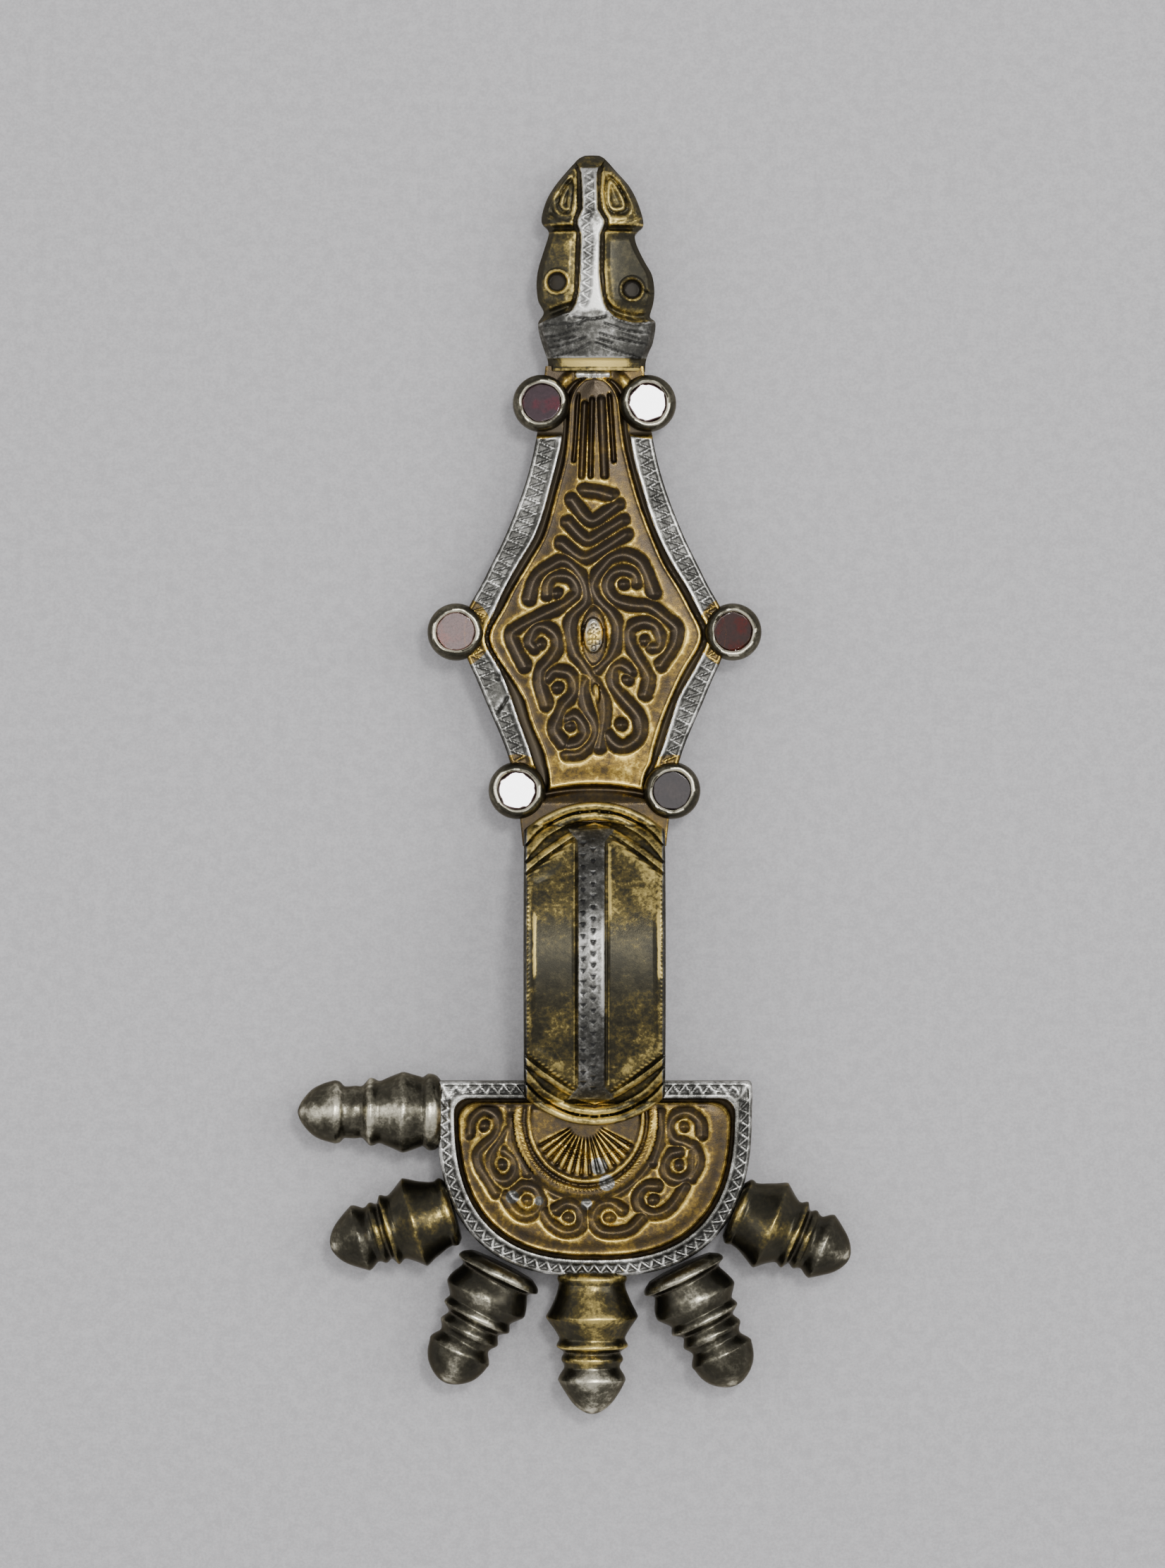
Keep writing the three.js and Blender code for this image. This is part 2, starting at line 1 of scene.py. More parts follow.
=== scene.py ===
# %% [markdown]
# # A radiate-headed bow brooch
# A silver brooch, partly gilded, that lies on its pin with the face up. The parts of its body were
# cast in one, then chip-carved, nielloed, gilded and set with six garnets; the knobs were fixed on.
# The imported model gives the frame: every place below is worked out from its boxes.

import math
from collections import namedtuple

import bmesh
import bpy
import numpy as np
from mathutils import Matrix, Vector


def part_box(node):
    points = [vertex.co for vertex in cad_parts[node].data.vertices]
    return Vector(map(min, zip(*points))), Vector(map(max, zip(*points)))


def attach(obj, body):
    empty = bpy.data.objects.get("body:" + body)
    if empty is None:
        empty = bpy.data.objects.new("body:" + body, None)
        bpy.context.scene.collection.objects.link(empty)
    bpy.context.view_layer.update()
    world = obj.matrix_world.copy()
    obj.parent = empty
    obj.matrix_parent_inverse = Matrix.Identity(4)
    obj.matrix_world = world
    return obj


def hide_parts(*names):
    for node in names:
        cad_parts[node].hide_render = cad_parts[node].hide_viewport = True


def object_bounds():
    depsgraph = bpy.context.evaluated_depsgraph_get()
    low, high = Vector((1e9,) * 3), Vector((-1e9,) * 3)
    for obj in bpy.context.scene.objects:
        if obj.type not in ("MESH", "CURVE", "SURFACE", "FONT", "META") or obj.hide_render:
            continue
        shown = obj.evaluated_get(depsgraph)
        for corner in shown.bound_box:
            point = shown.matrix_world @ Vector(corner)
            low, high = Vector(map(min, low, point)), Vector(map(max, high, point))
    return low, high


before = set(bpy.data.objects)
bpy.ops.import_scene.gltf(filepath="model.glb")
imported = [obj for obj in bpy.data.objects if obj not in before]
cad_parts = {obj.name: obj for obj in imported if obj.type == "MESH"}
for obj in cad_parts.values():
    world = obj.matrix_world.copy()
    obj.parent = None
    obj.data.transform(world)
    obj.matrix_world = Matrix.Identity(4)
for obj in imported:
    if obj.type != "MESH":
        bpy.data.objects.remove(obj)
cad_low, cad_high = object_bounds()
print("frame:", sorted(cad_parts))

# %% [markdown]
# The craftsman's own measures are simplest: millimetres, with x across the brooch, y along it
# towards the animal head and z up from the flat backs of the two plates. The spring's axle lies
# square across the middle, so its centre ties these measures to the frame.

# %% Units and origin
MM = 0.001
AXLE_AT = Vector((0, -19, -2.2))
axle_low, axle_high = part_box("spring_axle")
ORIGIN = (axle_low + axle_high) / 2 - AXLE_AT * MM
REST = -ORIGIN.z / MM
print("origin of the plates' frame:", [round(c / MM, 3) for c in ORIGIN], "mm")

# %% [markdown]
# ## Helpers for shapes
# A cast and carved plate is a skin whose height changes from point to point. It could be sculpted,
# or cut with booleans, but a fine grid whose vertices are moved by a height rule keeps every groove
# where it belongs. The grid is rolled round the plate like paper round a parcel, its seam is merged
# and its open ends are filled, so each plate is one closed skin.

# %% A grid wrapped into a closed piece
def wrapped_grid(name, points, masks):
    """points[row, column] is a place in millimetres; masks are numbers on the same grid."""
    rows, columns = points.shape[0] - 1, points.shape[1] - 1
    bm = bmesh.new()
    bmesh.ops.create_grid(bm, x_segments=columns, y_segments=rows, size=0.5)
    flat = np.array([vert.co[:2] for vert in bm.verts]) + 0.5
    column = np.rint(flat[:, 0] * columns).astype(int)
    row = np.rint(flat[:, 1] * rows).astype(int)
    layers = {mask: bm.verts.layers.float.new(mask) for mask in masks}
    for vert, place in zip(bm.verts, points[row, column].tolist()):
        vert.co = place
    for mask, layer in layers.items():
        for vert, value in zip(bm.verts, masks[mask][row, column].tolist()):
            vert[layer] = value
    bmesh.ops.remove_doubles(bm, verts=bm.verts, dist=1e-4)
    open_edges = [edge for edge in bm.edges if edge.is_boundary]
    if open_edges:
        bmesh.ops.holes_fill(bm, edges=open_edges, sides=0)
    return finished(name, bm)


def finished(name, bm, sharp=math.radians(50)):
    """Turns the normals out, smooths the shading and puts the piece in the frame, in metres."""
    bmesh.ops.recalc_face_normals(bm, faces=bm.faces)
    for face in bm.faces:
        face.smooth = True
    for edge in bm.edges:
        edge.smooth = edge.calc_face_angle(0) < sharp
    bmesh.ops.scale(bm, vec=(MM, MM, MM), verts=bm.verts)
    bmesh.ops.translate(bm, vec=ORIGIN, verts=bm.verts)
    mesh = bpy.data.meshes.new(name)
    bm.to_mesh(mesh)
    bm.free()
    piece = bpy.data.objects.new(name, mesh)
    bpy.context.scene.collection.objects.link(piece)
    triangles = sum(len(polygon.vertices) - 2 for polygon in mesh.polygons)
    print(f"{name}: {len(mesh.vertices)} vertices, {triangles} triangles")
    return piece


# %% [markdown]
# The height rules measure how far a point lies from a line, such as the middle of a groove. Lines
# cut freehand are given by a few points and rounded by a Catmull-Rom curve, as a graver would.

# %% Lines and distances
def curve(points, per_span=5, closed=False):
    """A smooth line through the points, with per_span short pieces between each two."""
    knots = np.array(points, float)
    if closed:
        guided = np.vstack([knots[-1], knots, knots[0], knots[1]])
    else:
        guided = np.vstack([2 * knots[0] - knots[1], knots, 2 * knots[-1] - knots[-2]])
    found = []
    for a, b, c, d in zip(guided, guided[1:], guided[2:], guided[3:]):
        for t in np.arange(per_span) / per_span:
            found.append(0.5 * (2 * b + (c - a) * t + (2 * a - 5 * b + 4 * c - d) * t ** 2
                                + (3 * b - a - 3 * c + d) * t ** 3))
    found.append(knots[0] if closed else knots[-1])
    return np.array(found)


def distance(x, y, line, reach=3.0):
    """How far each point lies from a line in plan, up to reach."""
    far = np.full(x.shape, float(reach))
    low, high = line.min(0) - reach, line.max(0) + reach
    near = (x > low[0]) & (x < high[0]) & (y > low[1]) & (y < high[1])
    px, py = x[near], y[near]
    squared = np.full(px.shape, float(reach) ** 2)
    for (ax, ay), (bx, by) in zip(line[:-1], line[1:]):
        ux, uy = bx - ax, by - ay
        t = np.clip(((px - ax) * ux + (py - ay) * uy) / max(ux * ux + uy * uy, 1e-12), 0, 1)
        squared = np.minimum(squared, (px - ax - t * ux) ** 2 + (py - ay - t * uy) ** 2)
    far[near] = np.sqrt(squared)
    return far


def nearest(x, y, lines, reach=3.0):
    """How far each point lies from the nearest of several lines."""
    return np.minimum.reduce([distance(x, y, line, reach) for line in lines])


def step(value, low, high):
    """0 below low, 1 above high, and a smooth rise between."""
    t = np.clip((value - low) / (high - low), 0, 1)
    return t * t * (3 - 2 * t)


def fade(value, low, high):
    """1 below low, 0 above high, and a smooth fall between."""
    return 1 - step(value, low, high)


def hump(value, centre, half):
    """1 at centre, falling smoothly to 0 at half on either side."""
    return 1 - step(np.abs(value - centre), 0, half)


def stands_out(height, reach):
    """How far each point stands above its surroundings: more than 0 on crests, less in grooves."""
    soft = height
    for axis in (0, 1):
        shifts = range(-reach, reach + 1)
        soft = sum(np.roll(soft, shift, axis) for shift in shifts) / len(shifts)
    return height - soft


def side_line(table, x, y):
    """The half width of a line whose left and right sides differ; the rows are y, left, right."""
    line = curve(table)
    left, right = (np.interp(y, line[:, 0], line[:, side]) for side in (1, 2))
    return left + (right - left) * step(x, -0.5, 0.5)


def round_edge(inset, radius):
    """How far a rounded edge lies below the top at a distance from the side."""
    inside = np.clip(radius - inset, 0, radius)
    return radius - np.sqrt(radius ** 2 - inside ** 2)


def dome(off):
    """A round back: 1 high in the middle and 0 from off = 1 outwards."""
    return np.sqrt(np.clip(1 - off ** 2, 0, 1))


def layered(**touches):
    """The sum of several touches that brighten (more than 0) or darken (less), named for what they are:
    rubbing, tarnish, and painted light and shade.
    """
    return sum(touches.values())


# %% [markdown]
# The silver rims carry two rows of little punched triangles, point to point, so that a bright
# zigzag is left standing between them; the triangles were filled with black niello, now mostly lost.

# %% Zigzag of punched triangles
def zigzag(along, inset, low, high, period=1.5, ridge=0.17):
    """1 inside a triangle and 0 on the zigzag and outside the lane from low to high."""
    wave = 0.08 + 0.84 * np.abs(2 * np.mod(along / period, 1) - 1)  # turns just short of the sides
    off = np.abs(inset - low - (high - low) * wave) * 0.75          # squared up, as the line slants
    lane = np.minimum(inset - low, high - inset)
    return step(off, ridge * 0.7, ridge * 1.5) * step(lane, 0, 0.15)


# %% [markdown]
# ## The foot plate
# A long lozenge with a silver rim, a dark trench and a gilded field, on which two rows of scrolls
# were cut with a graver. Each groove is a line below; the surface rises from it to a sharp crest.

# %% Measures of the foot plate
PLATE, FIELD, TRENCH = 3.0, 2.65, 1.9  # heights of the rims, the sunk fields and the trench floors
FOOT_CUT, HEAD_CUT = 0.68, 0.62        # depths of the chip carving
SLANT = 0.88  # the share of a width across the brooch that is left square to the slanting edge
FOOT_EDGE = curve([(8.9, 14.6), (9.6, 20.5), (10.9, 26.3), (14.1, 34.0), (16.6, 41.2), (13.7, 47.7),
                   (10.9, 53.5), (8.5, 59.9), (7.1, 66.0), (6.1, 74.2)])
COLLETS = {
    "top_left": (-6.6, 69.6), "top_right": (6.6, 69.6),
    "middle_left": (-17.2, 41.2), "middle_right": (17.2, 41.2),
    "bottom_left": (-9.6, 21.5), "bottom_right": (9.6, 21.5),
}

# the inner side of the border and the edge of the field: y, half width left and right
BORDER_SIDE = [(14.0, 6.0, 6.0), (22.3, 6.7, 6.9), (25.0, 7.5, 7.6), (27.0, 8.1, 8.4),
               (30.1, 9.25, 9.35), (33.2, 10.3, 10.4), (36.4, 11.6, 12.2), (39.4, 13.3, 13.7),
               (41.3, 13.4, 14.0), (44.0, 12.2, 12.7), (46.6, 11.0, 11.4), (49.7, 9.3, 9.5),
               (52.9, 7.4, 7.9), (56.0, 6.25, 6.7), (59.1, 5.4, 5.8), (62.2, 4.6, 4.9),
               (65.0, 4.0, 4.4), (69.4, 3.8, 3.9), (74.2, 3.6, 3.7)]
FIELD_SIDE = [(14.0, 5.2, 5.4), (22.3, 5.5, 5.9), (25.0, 5.9, 6.85), (27.0, 6.5, 7.3),
              (30.1, 7.8, 8.25), (33.2, 8.8, 9.5), (36.4, 10.9, 11.0), (39.4, 12.7, 12.8),
              (41.3, 12.8, 13.1), (44.0, 11.3, 11.8), (46.6, 10.0, 10.4), (49.7, 8.1, 8.5),
              (52.9, 6.3, 7.1), (56.0, 5.3, 5.9), (59.1, 4.5, 4.9), (62.2, 3.7, 4.1),
              (65.0, 3.3, 3.5), (69.4, 3.1, 3.1), (74.2, 3.1, 3.1)]

# left scrolls, right scrolls, the loops round the boss, the chevrons
FOOT_GROOVES = [curve(points) for points in (
    [(-5.8, 45.9), (-5.8, 47.0), (-5.2, 48.0), (-3.9, 48.2), (-2.9, 47.9), (-2.2, 47.0), (-2.1, 46.0),
     (-2.9, 45.2), (-4.1, 44.4), (-7.2, 42.9), (-9.6, 41.6), (-10.3, 40.7), (-9.7, 39.1), (-8.6, 37.0)],
    [(-8.1, 45.3), (-7.2, 47.9), (-5.3, 49.4), (-4.0, 50.0), (-2.8, 49.5), (-1.3, 47.4), (-1.05, 45.0),
     (-2.7, 43.2), (-3.05, 41.1), (-2.4, 38.6), (-1.5, 37.4), (-0.4, 35.7)],
    [(-7.5, 39.3), (-8.0, 40.0), (-7.4, 41.6), (-6.4, 41.9), (-5.4, 41.4), (-4.7, 40.6), (-4.55, 39.6),
     (-4.9, 38.7), (-5.8, 37.4), (-6.6, 36.5), (-6.7, 35.6), (-6.65, 34.6), (-5.9, 32.2)],
    [(-5.8, 35.5), (-5.1, 36.3), (-4.1, 36.3), (-3.1, 36.0), (-2.45, 35.0), (-2.45, 33.8),
     (-3.15, 32.8), (-3.9, 31.9), (-4.4, 30.7), (-4.9, 29.1), (-3.8, 27.3)],
    [(-3.3, 30.5), (-2.45, 30.8), (-1.7, 30.2), (-1.15, 29.2), (-1.2, 28.3), (-2.0, 27.4), (-3.15, 27.1)],
    [(-1.05, 35.2), (-1.4, 34.3), (-1.3, 32.8), (-0.8, 31.3), (-0.1, 30.2), (0.2, 29.0), (-0.1, 27.9),
     (-0.9, 26.9), (-2.0, 26.1), (-3.3, 26.0)],
    [(5.3, 47.4), (5.1, 48.2), (4.3, 48.7), (3.15, 48.8), (2.2, 48.4), (1.6, 47.4), (1.7, 46.3),
     (2.45, 45.3), (3.6, 44.8), (5.1, 44.5), (6.6, 44.4), (7.6, 43.9), (8.7, 43.0), (9.6, 42.3),
     (10.2, 41.6), (10.2, 40.7), (9.7, 39.3), (8.2, 37.1)],
    [(7.35, 46.0), (6.65, 47.9), (6.2, 48.9), (5.5, 50.0), (3.85, 50.8), (2.2, 50.4), (1.05, 49.2),
     (0.35, 48.3), (-0.2, 47.0), (0.2, 45.7), (1.05, 44.6), (2.06, 43.6), (2.9, 42.0), (2.9, 40.4),
     (2.6, 39.3), (2.0, 38.1), (1.0, 37.1), (0.3, 36.4)],
    [(7.2, 39.3), (8.0, 39.4), (8.2, 40.2), (8.0, 41.2), (7.5, 42.0), (6.3, 42.4), (5.1, 42.1),
     (4.3, 41.4), (4.3, 40.3), (4.8, 39.1), (5.4, 37.9), (6.6, 36.0), (6.7, 35.0), (6.3, 33.5)],
    [(4.5, 36.3), (4.0, 36.8), (3.2, 37.1), (2.45, 36.8), (2.2, 35.9), (2.3, 34.7), (2.9, 33.8),
     (3.9, 32.6), (4.9, 31.5), (5.6, 30.4), (5.7, 29.0), (5.2, 27.9), (4.1, 27.1), (3.1, 27.0),
     (2.2, 27.6), (1.6, 28.4)],
    [(-0.1, 35.3), (0.4, 34.3), (1.05, 33.2), (1.2, 32.2), (1.2, 30.7), (0.6, 26.9)],
    [(-2.7, 57.6), (-1.4, 55.7), (-0.2, 55.0), (1.1, 55.7), (2.8, 57.0)],
    [(-3.2, 54.8), (-1.75, 53.2), (-0.6, 52.6), (1.1, 53.6), (3.4, 55.0)],
    [(-4.0, 52.2), (-2.3, 50.8), (-1.0, 50.4), (1.1, 51.5), (3.85, 53.3)],
    [(-1.2, 58.8), (0.4, 58.6), (2.1, 58.1)],
)]
FOOT_PITS = [(-4.7, 46.0), (-6.7, 39.7), (-4.6, 34.3), (-3.0, 29.6), (3.7, 47.2), (6.3, 40.1),
             (4.1, 35.3), (3.3, 29.7)]
FOOT_FLUTES = [(np.array(both_ends), half_width) for both_ends, half_width in (
    ([(-1.6, 60.5), (-1.2, 69.5)], 0.5), ([(-0.5, 60.5), (-0.3, 70.0)], 0.42),
    ([(1.25, 60.6), (0.85, 70.0)], 0.6), ([(2.4, 62.5), (1.9, 70.5)], 0.4),
    ([(-2.6, 62.5), (-2.1, 70.5)], 0.4))]
RINGS_ON_BOSS = ((-0.1, 42.0), (-0.5, 41.2), (0.35, 41.3), (-0.1, 40.5), (-0.6, 39.9), (0.4, 39.9),
                 (-0.1, 39.2))
NICK = np.array([(-12.0, 31.1), (-10.3, 33.7)])
print(len(FOOT_GROOVES), "grooves and", len(FOOT_PITS), "scroll pits on the foot")

# %% [markdown]
# A cut is deep in the middle and rises, a little hollow, to the crest. Where two cuts are closer
# than their width, their slopes meet in a crest below the surface, which is what makes the scrolls.

# %% The depth of a cut
def carved(x, y, grooves, pits, half=1.15, depth=FOOT_CUT, pit=1.05):
    """How deep the carving is: 0 on the surface, depth at the bottom of a groove."""
    across = nearest(x, y, grooves, 1.5) / half
    for px, py in pits:
        across = np.minimum(across, np.hypot(x - px, y - py) / pit)
    return depth * (1 - np.clip(across, 0, 1) ** 1.8)


# %% The loop round a plate
SIDE_LEVELS = (0.6, 0.2, 0.04)            # shares of the thickness where a side has vertices
UNDERNEATH = np.linspace(0.97, 0.03, 7)   # and shares of the width where the back has them
ROUNDED = [0, 0.04, 0.12, 0.24, 0.38]     # insets, close together where a rim's edge is rounded


def plate_loop(half, stations, inner):
    """For each half width: insets from the left side, even steps across, and insets on the right."""
    left = np.repeat(stations[None, :], len(half), 0)
    core = half - stations[-1]
    t = np.linspace(-1, 1, inner + 2)[1:-1]
    return np.hstack([left - half[:, None], t * core[:, None], half[:, None] - left[:, ::-1]])


def closed_loop(x_top, y, z_top, back):
    """Adds the sides and the back to the rows of a top surface, and joins the loop."""
    left, right = x_top[:, :1], x_top[:, -1:]
    z_left, z_right = z_top[:, :1], z_top[:, -1:]
    back = np.broadcast_to(back, left.shape)
    down_right = [(right, back + (z_right - back) * level) for level in SIDE_LEVELS]
    underneath = [(left + (right - left) * t, back) for t in UNDERNEATH]
    up_left = [(left, back + (z_left - back) * level) for level in SIDE_LEVELS[::-1]]
    xs, zs = zip((x_top, z_top), *down_right, *underneath, *up_left, (left, z_left))
    x, z = np.hstack(xs), np.hstack(zs)
    return np.stack([x, np.repeat(y[:, None], x.shape[1], 1), z], 2)


def sunk_field(into_field, floor, dish, reach):
    """A field inside its trench: a steep shoulder, a thin lip and a slight dish along its side."""
    shoulder = step(into_field, -0.5, 0.05)
    field = FIELD - dish * fade(into_field, 0.4, reach)
    return floor + (field - floor) * shoulder + 0.07 * hump(into_field, 0.12, 0.24), shoulder


def padded(mask, columns, value):
    """A mask of the top surface, carried on over the sides and the back with one value."""
    extra = columns - mask.shape[1]
    rest = np.full((mask.shape[0], extra), float(value))
    rest[:, -1:] = mask[:, :1]
    return np.hstack([mask, rest])


# %% The foot plate's grid
FOOT_ROWS, FOOT_COLUMNS = 400, 165
y_row = np.linspace(14.6, 74.2, FOOT_ROWS + 1)
half_row = np.interp(y_row, FOOT_EDGE[:, 1], FOOT_EDGE[:, 0])
x = plate_loop(half_row, np.concatenate([ROUNDED, np.arange(0.5, 3.2, 0.13)]), FOOT_COLUMNS)
y = np.repeat(y_row[:, None], x.shape[1], 1)
half = np.repeat(half_row[:, None], x.shape[1], 1)
inset = (half - np.abs(x)) * SLANT
side_length = np.concatenate([[0], np.cumsum(np.hypot(np.diff(half_row), np.diff(y_row)))])
along = np.repeat(side_length[:, None], x.shape[1], 1)
print("foot plate grid:", x.shape)

# %% [markdown]
# Three zones follow one another from the side inwards: the rim, the trench and the field. The
# trench's floor is a little hollow. Both ends of the plate, under the collets, have no rim.

# %% The zones of the foot plate
FIELD_TOP, FIELD_BOTTOM = 68.6, 22.5
border_width = (half - side_line(BORDER_SIDE, x, y)) * SLANT
into_field = (side_line(FIELD_SIDE, x, y) - np.abs(x)) * SLANT
into_field = np.minimum(into_field, y - (FIELD_BOTTOM - 0.8 * (x / 6) ** 2))
round_top = 3.1 * dome(np.clip(y - FIELD_TOP, 0, None) / 4.2)
into_field = np.where(y > FIELD_TOP, np.minimum(into_field, round_top - np.abs(x)), into_field)
rim = step(border_width - inset, -0.05, 0.15) * step(y, 23.4, 24.6) * fade(y, 65.2, 66.0)
ends = fade(y, 21.5, 23.0) + step(y, 67.5, 69.0)
trench_width = np.clip(inset - border_width - into_field, 0.2, None)
across_trench = np.clip((inset - border_width) / trench_width, 0, 1)
hollow_floor = 0.35 * (2 * across_trench - 1) ** 2 * (into_field < 0) * (1 - np.clip(ends, 0, 1))
floor_height = TRENCH + 0.45 * ends + hollow_floor
floor_height = floor_height - ends * (0.5 * hump(y, 21.3, 1.6) + 0.3 * hump(into_field, -0.7, 0.7))
z, shoulder = sunk_field(into_field, floor_height, dish=0.16, reach=2.4)
print("widest field of the foot:", round(2 * float(into_field.max()) / SLANT, 1), "mm")

# %% [markdown]
# The scrolls and chevrons are cut into the field. In their midst an almond is hollowed out and a
# boss, stamped with little rings, is left standing in it, with a small leaf below.

# %% The foot plate's carving
cuts = carved(x, y, FOOT_GROOVES, FOOT_PITS)
between_cuts = fade(nearest(x, y, FOOT_GROOVES, 2.5), 1.5, 1.9) * (cuts < 0.2)
flutes = np.zeros_like(x)
for line, half_width in FOOT_FLUTES:
    off = np.clip(distance(x, y, line, 1.0) / half_width, 0, 1)
    flutes = np.maximum(flutes, 0.5 * (1 - off ** 1.7))
almond = np.hypot((x + 0.05) / 1.9, (y - 40.6) / 4.4)
boss = np.hypot((x + 0.14) / 1.25, (y - 40.8) / 2.15)
leaf = np.hypot((x - 0.1) / 0.62, (y - 33.3) / 1.5)
carving = np.maximum.reduce([cuts, flutes, FOOT_CUT * fade(almond, 0.7, 1.05)])
carving = carving * step(into_field, 0.3, 1.0)
raised = np.maximum(dome(boss) * 0.95, dome(leaf) * 0.75)
off_rings = np.minimum.reduce([np.abs(np.hypot(x - rx, y - ry) - 0.3) for rx, ry in RINGS_ON_BOSS])
punched = hump(off_rings, 0, 0.14) * (boss < 0.95)
z = np.maximum(z - carving, (FIELD - FOOT_CUT + raised * 0.85) * (raised > 0)) - 0.15 * punched
carving = carving * fade(raised, 0, 0.4)
print("deepest cut in the foot:", round(float(carving.max()), 2), "mm")

# %% [markdown]
# The rim stands highest. Its punched triangles are worn away at the lower left, where the silver
# has a nick and a small dent, and a thin bead runs along its inner side.

# %% The foot plate's rim
tri = zigzag(along + 0.75 * (x > 0), inset, 0.4, border_width - 0.62, period=1.42)
tri = tri * step(y, 24.6, 25.0) * fade(y, 64.9, 65.2)
worn_away = 1 - hump(np.hypot(x + 11.8, (y - 33.5) * 0.55), 0, 2.6)
bead = 0.07 * hump(inset - border_width, -0.28, 0.3)
nick = 0.3 * hump(distance(x, y, NICK, 1), 0, 0.3)
dent = 0.25 * hump(np.hypot(x + 11.9, y - 35.6), 0, 0.7)
rim_top = PLATE - round_edge(inset, 0.4) - 0.12 * tri * worn_away + bead - nick - dent
z = z + (rim_top - z) * rim
plain_edge = floor_height + 0.35 - round_edge(inset, 0.6)
z = np.where(ends * (1 - rim) > 0.5, np.minimum(z, np.maximum(plain_edge, z * (inset > 1.0))), z)
z = np.where(y < 20.5, np.minimum(z, 2.4), z)  # the foot's end is lower, where the bow meets it
print("rim of the foot:", round(float(z.max()), 2), "mm high")

# %% [markdown]
# Four numbers go with every point: how much it stands out, how deep it lies in a cut, how much
# gilding is left, and how far rubbing, tarnish and painted light and shade have brightened or
# darkened it. A fifth says where the black niello is.

# %% The foot plate's rubbing, tarnish and painted light
foot_relief = stands_out(z, 3)
near_collet = np.minimum.reduce([np.hypot(x - cx, y - cy) for cx, cy in COLLETS.values()])
in_field = step(into_field, -0.2, 0.1)
strip = rim * hump(inset - border_width, -0.28, 0.34)
out, up = np.abs(x) - 3.7, y - 72.2
brushed = hump(np.hypot((0.62 * out - 0.78 * up) / 2.0, 0.78 * out + 0.62 * up), 0, 1) * (1 - in_field)
silver_strip = hump(y, 73.15, 0.85) * fade(np.abs(x + 0.2), 1.9, 2.4)
z = z + 0.35 * silver_strip + 0.4 * brushed
gilt = np.clip(1 - rim + fade(near_collet, 4.2, 4.7), 0, 1) * np.where(boss < 1.02, 0.45, 1)
foot_tone = layered(
    tarnish=-0.24 * (1 - rim),
    dark_beside_the_field=-0.11 * hump(y, 45, 10) * (1 - in_field) * (1 - rim),
    # painted light from the right: the right side is made lighter, but a little darker about y = 50
    rubbed_on_the_right=step(x, -7, 9) * (0.12 - 0.185 * hump(y, 50, 13)) * (1 - rim),
    dark_ends=-0.05 * ends * (1 - in_field) - 0.1 * hump(y, 71, 1.2) * (1 - rim),
    dark_flutes=-0.1 * step(y, 64, 70) * in_field,
    crests_of_the_scrolls=(0.15 + 0.06 * hump(y, 47, 15)) * between_cuts * in_field,
    bottoms_of_the_cuts=-0.06 * np.clip(carving / FOOT_CUT, 0, 1),
    plain_field_at_the_foot=0.26 * fade(y, 24.5, 27.5) * in_field,
    # painted highlight along the thin lip at the field's edge
    lip=0.16 * hump(into_field, 0.12, 0.26),
    boss=0.3 * (boss < 1),
    # painted highlight on the bead along the rim's inner side, stronger on the right
    bead=strip * (0.06 + 0.13 * (x > 0)),
    outer_edge=-0.2 * rim * fade(inset, 0.1, 0.4),
    lower_left_rim=-0.12 * rim * step(-x, 0, 1) * fade(y, 31, 36),
    bright_at_the_neck=0.62 * brushed + 1.05 * silver_strip,
)
foot = closed_loop(x, y_row, z, 0.0)
columns = foot.shape[1]
in_trench = (1 - shoulder) * (0.95 - 0.75 * ends)
foot_masks = {
    "crest": padded(np.clip(foot_relief / 0.10, 0, 1), columns, 0),
    "deep": padded(np.clip(0.3 * carving + in_trench, 0, 1) * (1 - rim), columns, 0),
    "gilt": padded(gilt * (1 - silver_strip), columns, 0),
    "niello": padded(tri * rim * worn_away * 0.16 + 0.6 * punched, columns, 0),
    "tone": padded(foot_tone, columns, 0),
}
foot_plate = wrapped_grid("foot_plate", foot, foot_masks)

# %% [markdown]
# ## The head plate
# A half-round plate. Its grid runs round the middle like a dartboard: from the pole on the face out
# to the edge, down the side and back in to a pole underneath, so both poles close by merging.

# %% Measures of the head plate
HEAD_HALF, HEAD_TOP, HEAD_SHOULDER, HEAD_DROP, HEAD_POWER = 19.55, -14.6, -18.0, 20.9, 2.6
RIM, TRENCH_WIDTH = 2.1, 0.7
FAN_X, FAN_Y, FAN_RX, FAN_RY = -1.1, -19.3, 8.2, 8.9
RIB_PITCH = math.radians(9.2)
POLE = (0.0, -24.0)
RAYS, FIELD_RINGS = 720, 92


def head_outline(inset, corner):
    """The plate's outline moved in by an inset, as a closed line; corner is its corners' radius."""
    half, drop, top = HEAD_HALF - inset, HEAD_DROP - inset, HEAD_TOP - inset
    corners = [(half - corner * (1 - math.sin(a)), top - corner * (1 - math.cos(a)))
               for a in np.linspace(0, math.pi / 2, 7)]
    power = 2 / HEAD_POWER
    below = [(half * math.cos(a) ** power, HEAD_SHOULDER - drop * math.sin(a) ** power)
             for a in np.linspace(0, math.pi / 2, 140)]
    level = [(x_at, top) for x_at in np.linspace(0, half - corner, 90)[:-1]]
    right = np.array(level + corners + [p for p in below if p[1] < top - corner])
    left = right[:-1][::-1] * np.array([-1, 1])
    return np.vstack([right, left])


def ring(inset, corner, rays):
    """Where rays from the pole cross the outline."""
    out_x, out_y = (head_outline(inset, corner) - np.array(POLE)).T
    return np.interp(rays, np.arctan2(out_y, out_x), np.hypot(out_x, out_y), period=2 * math.pi)


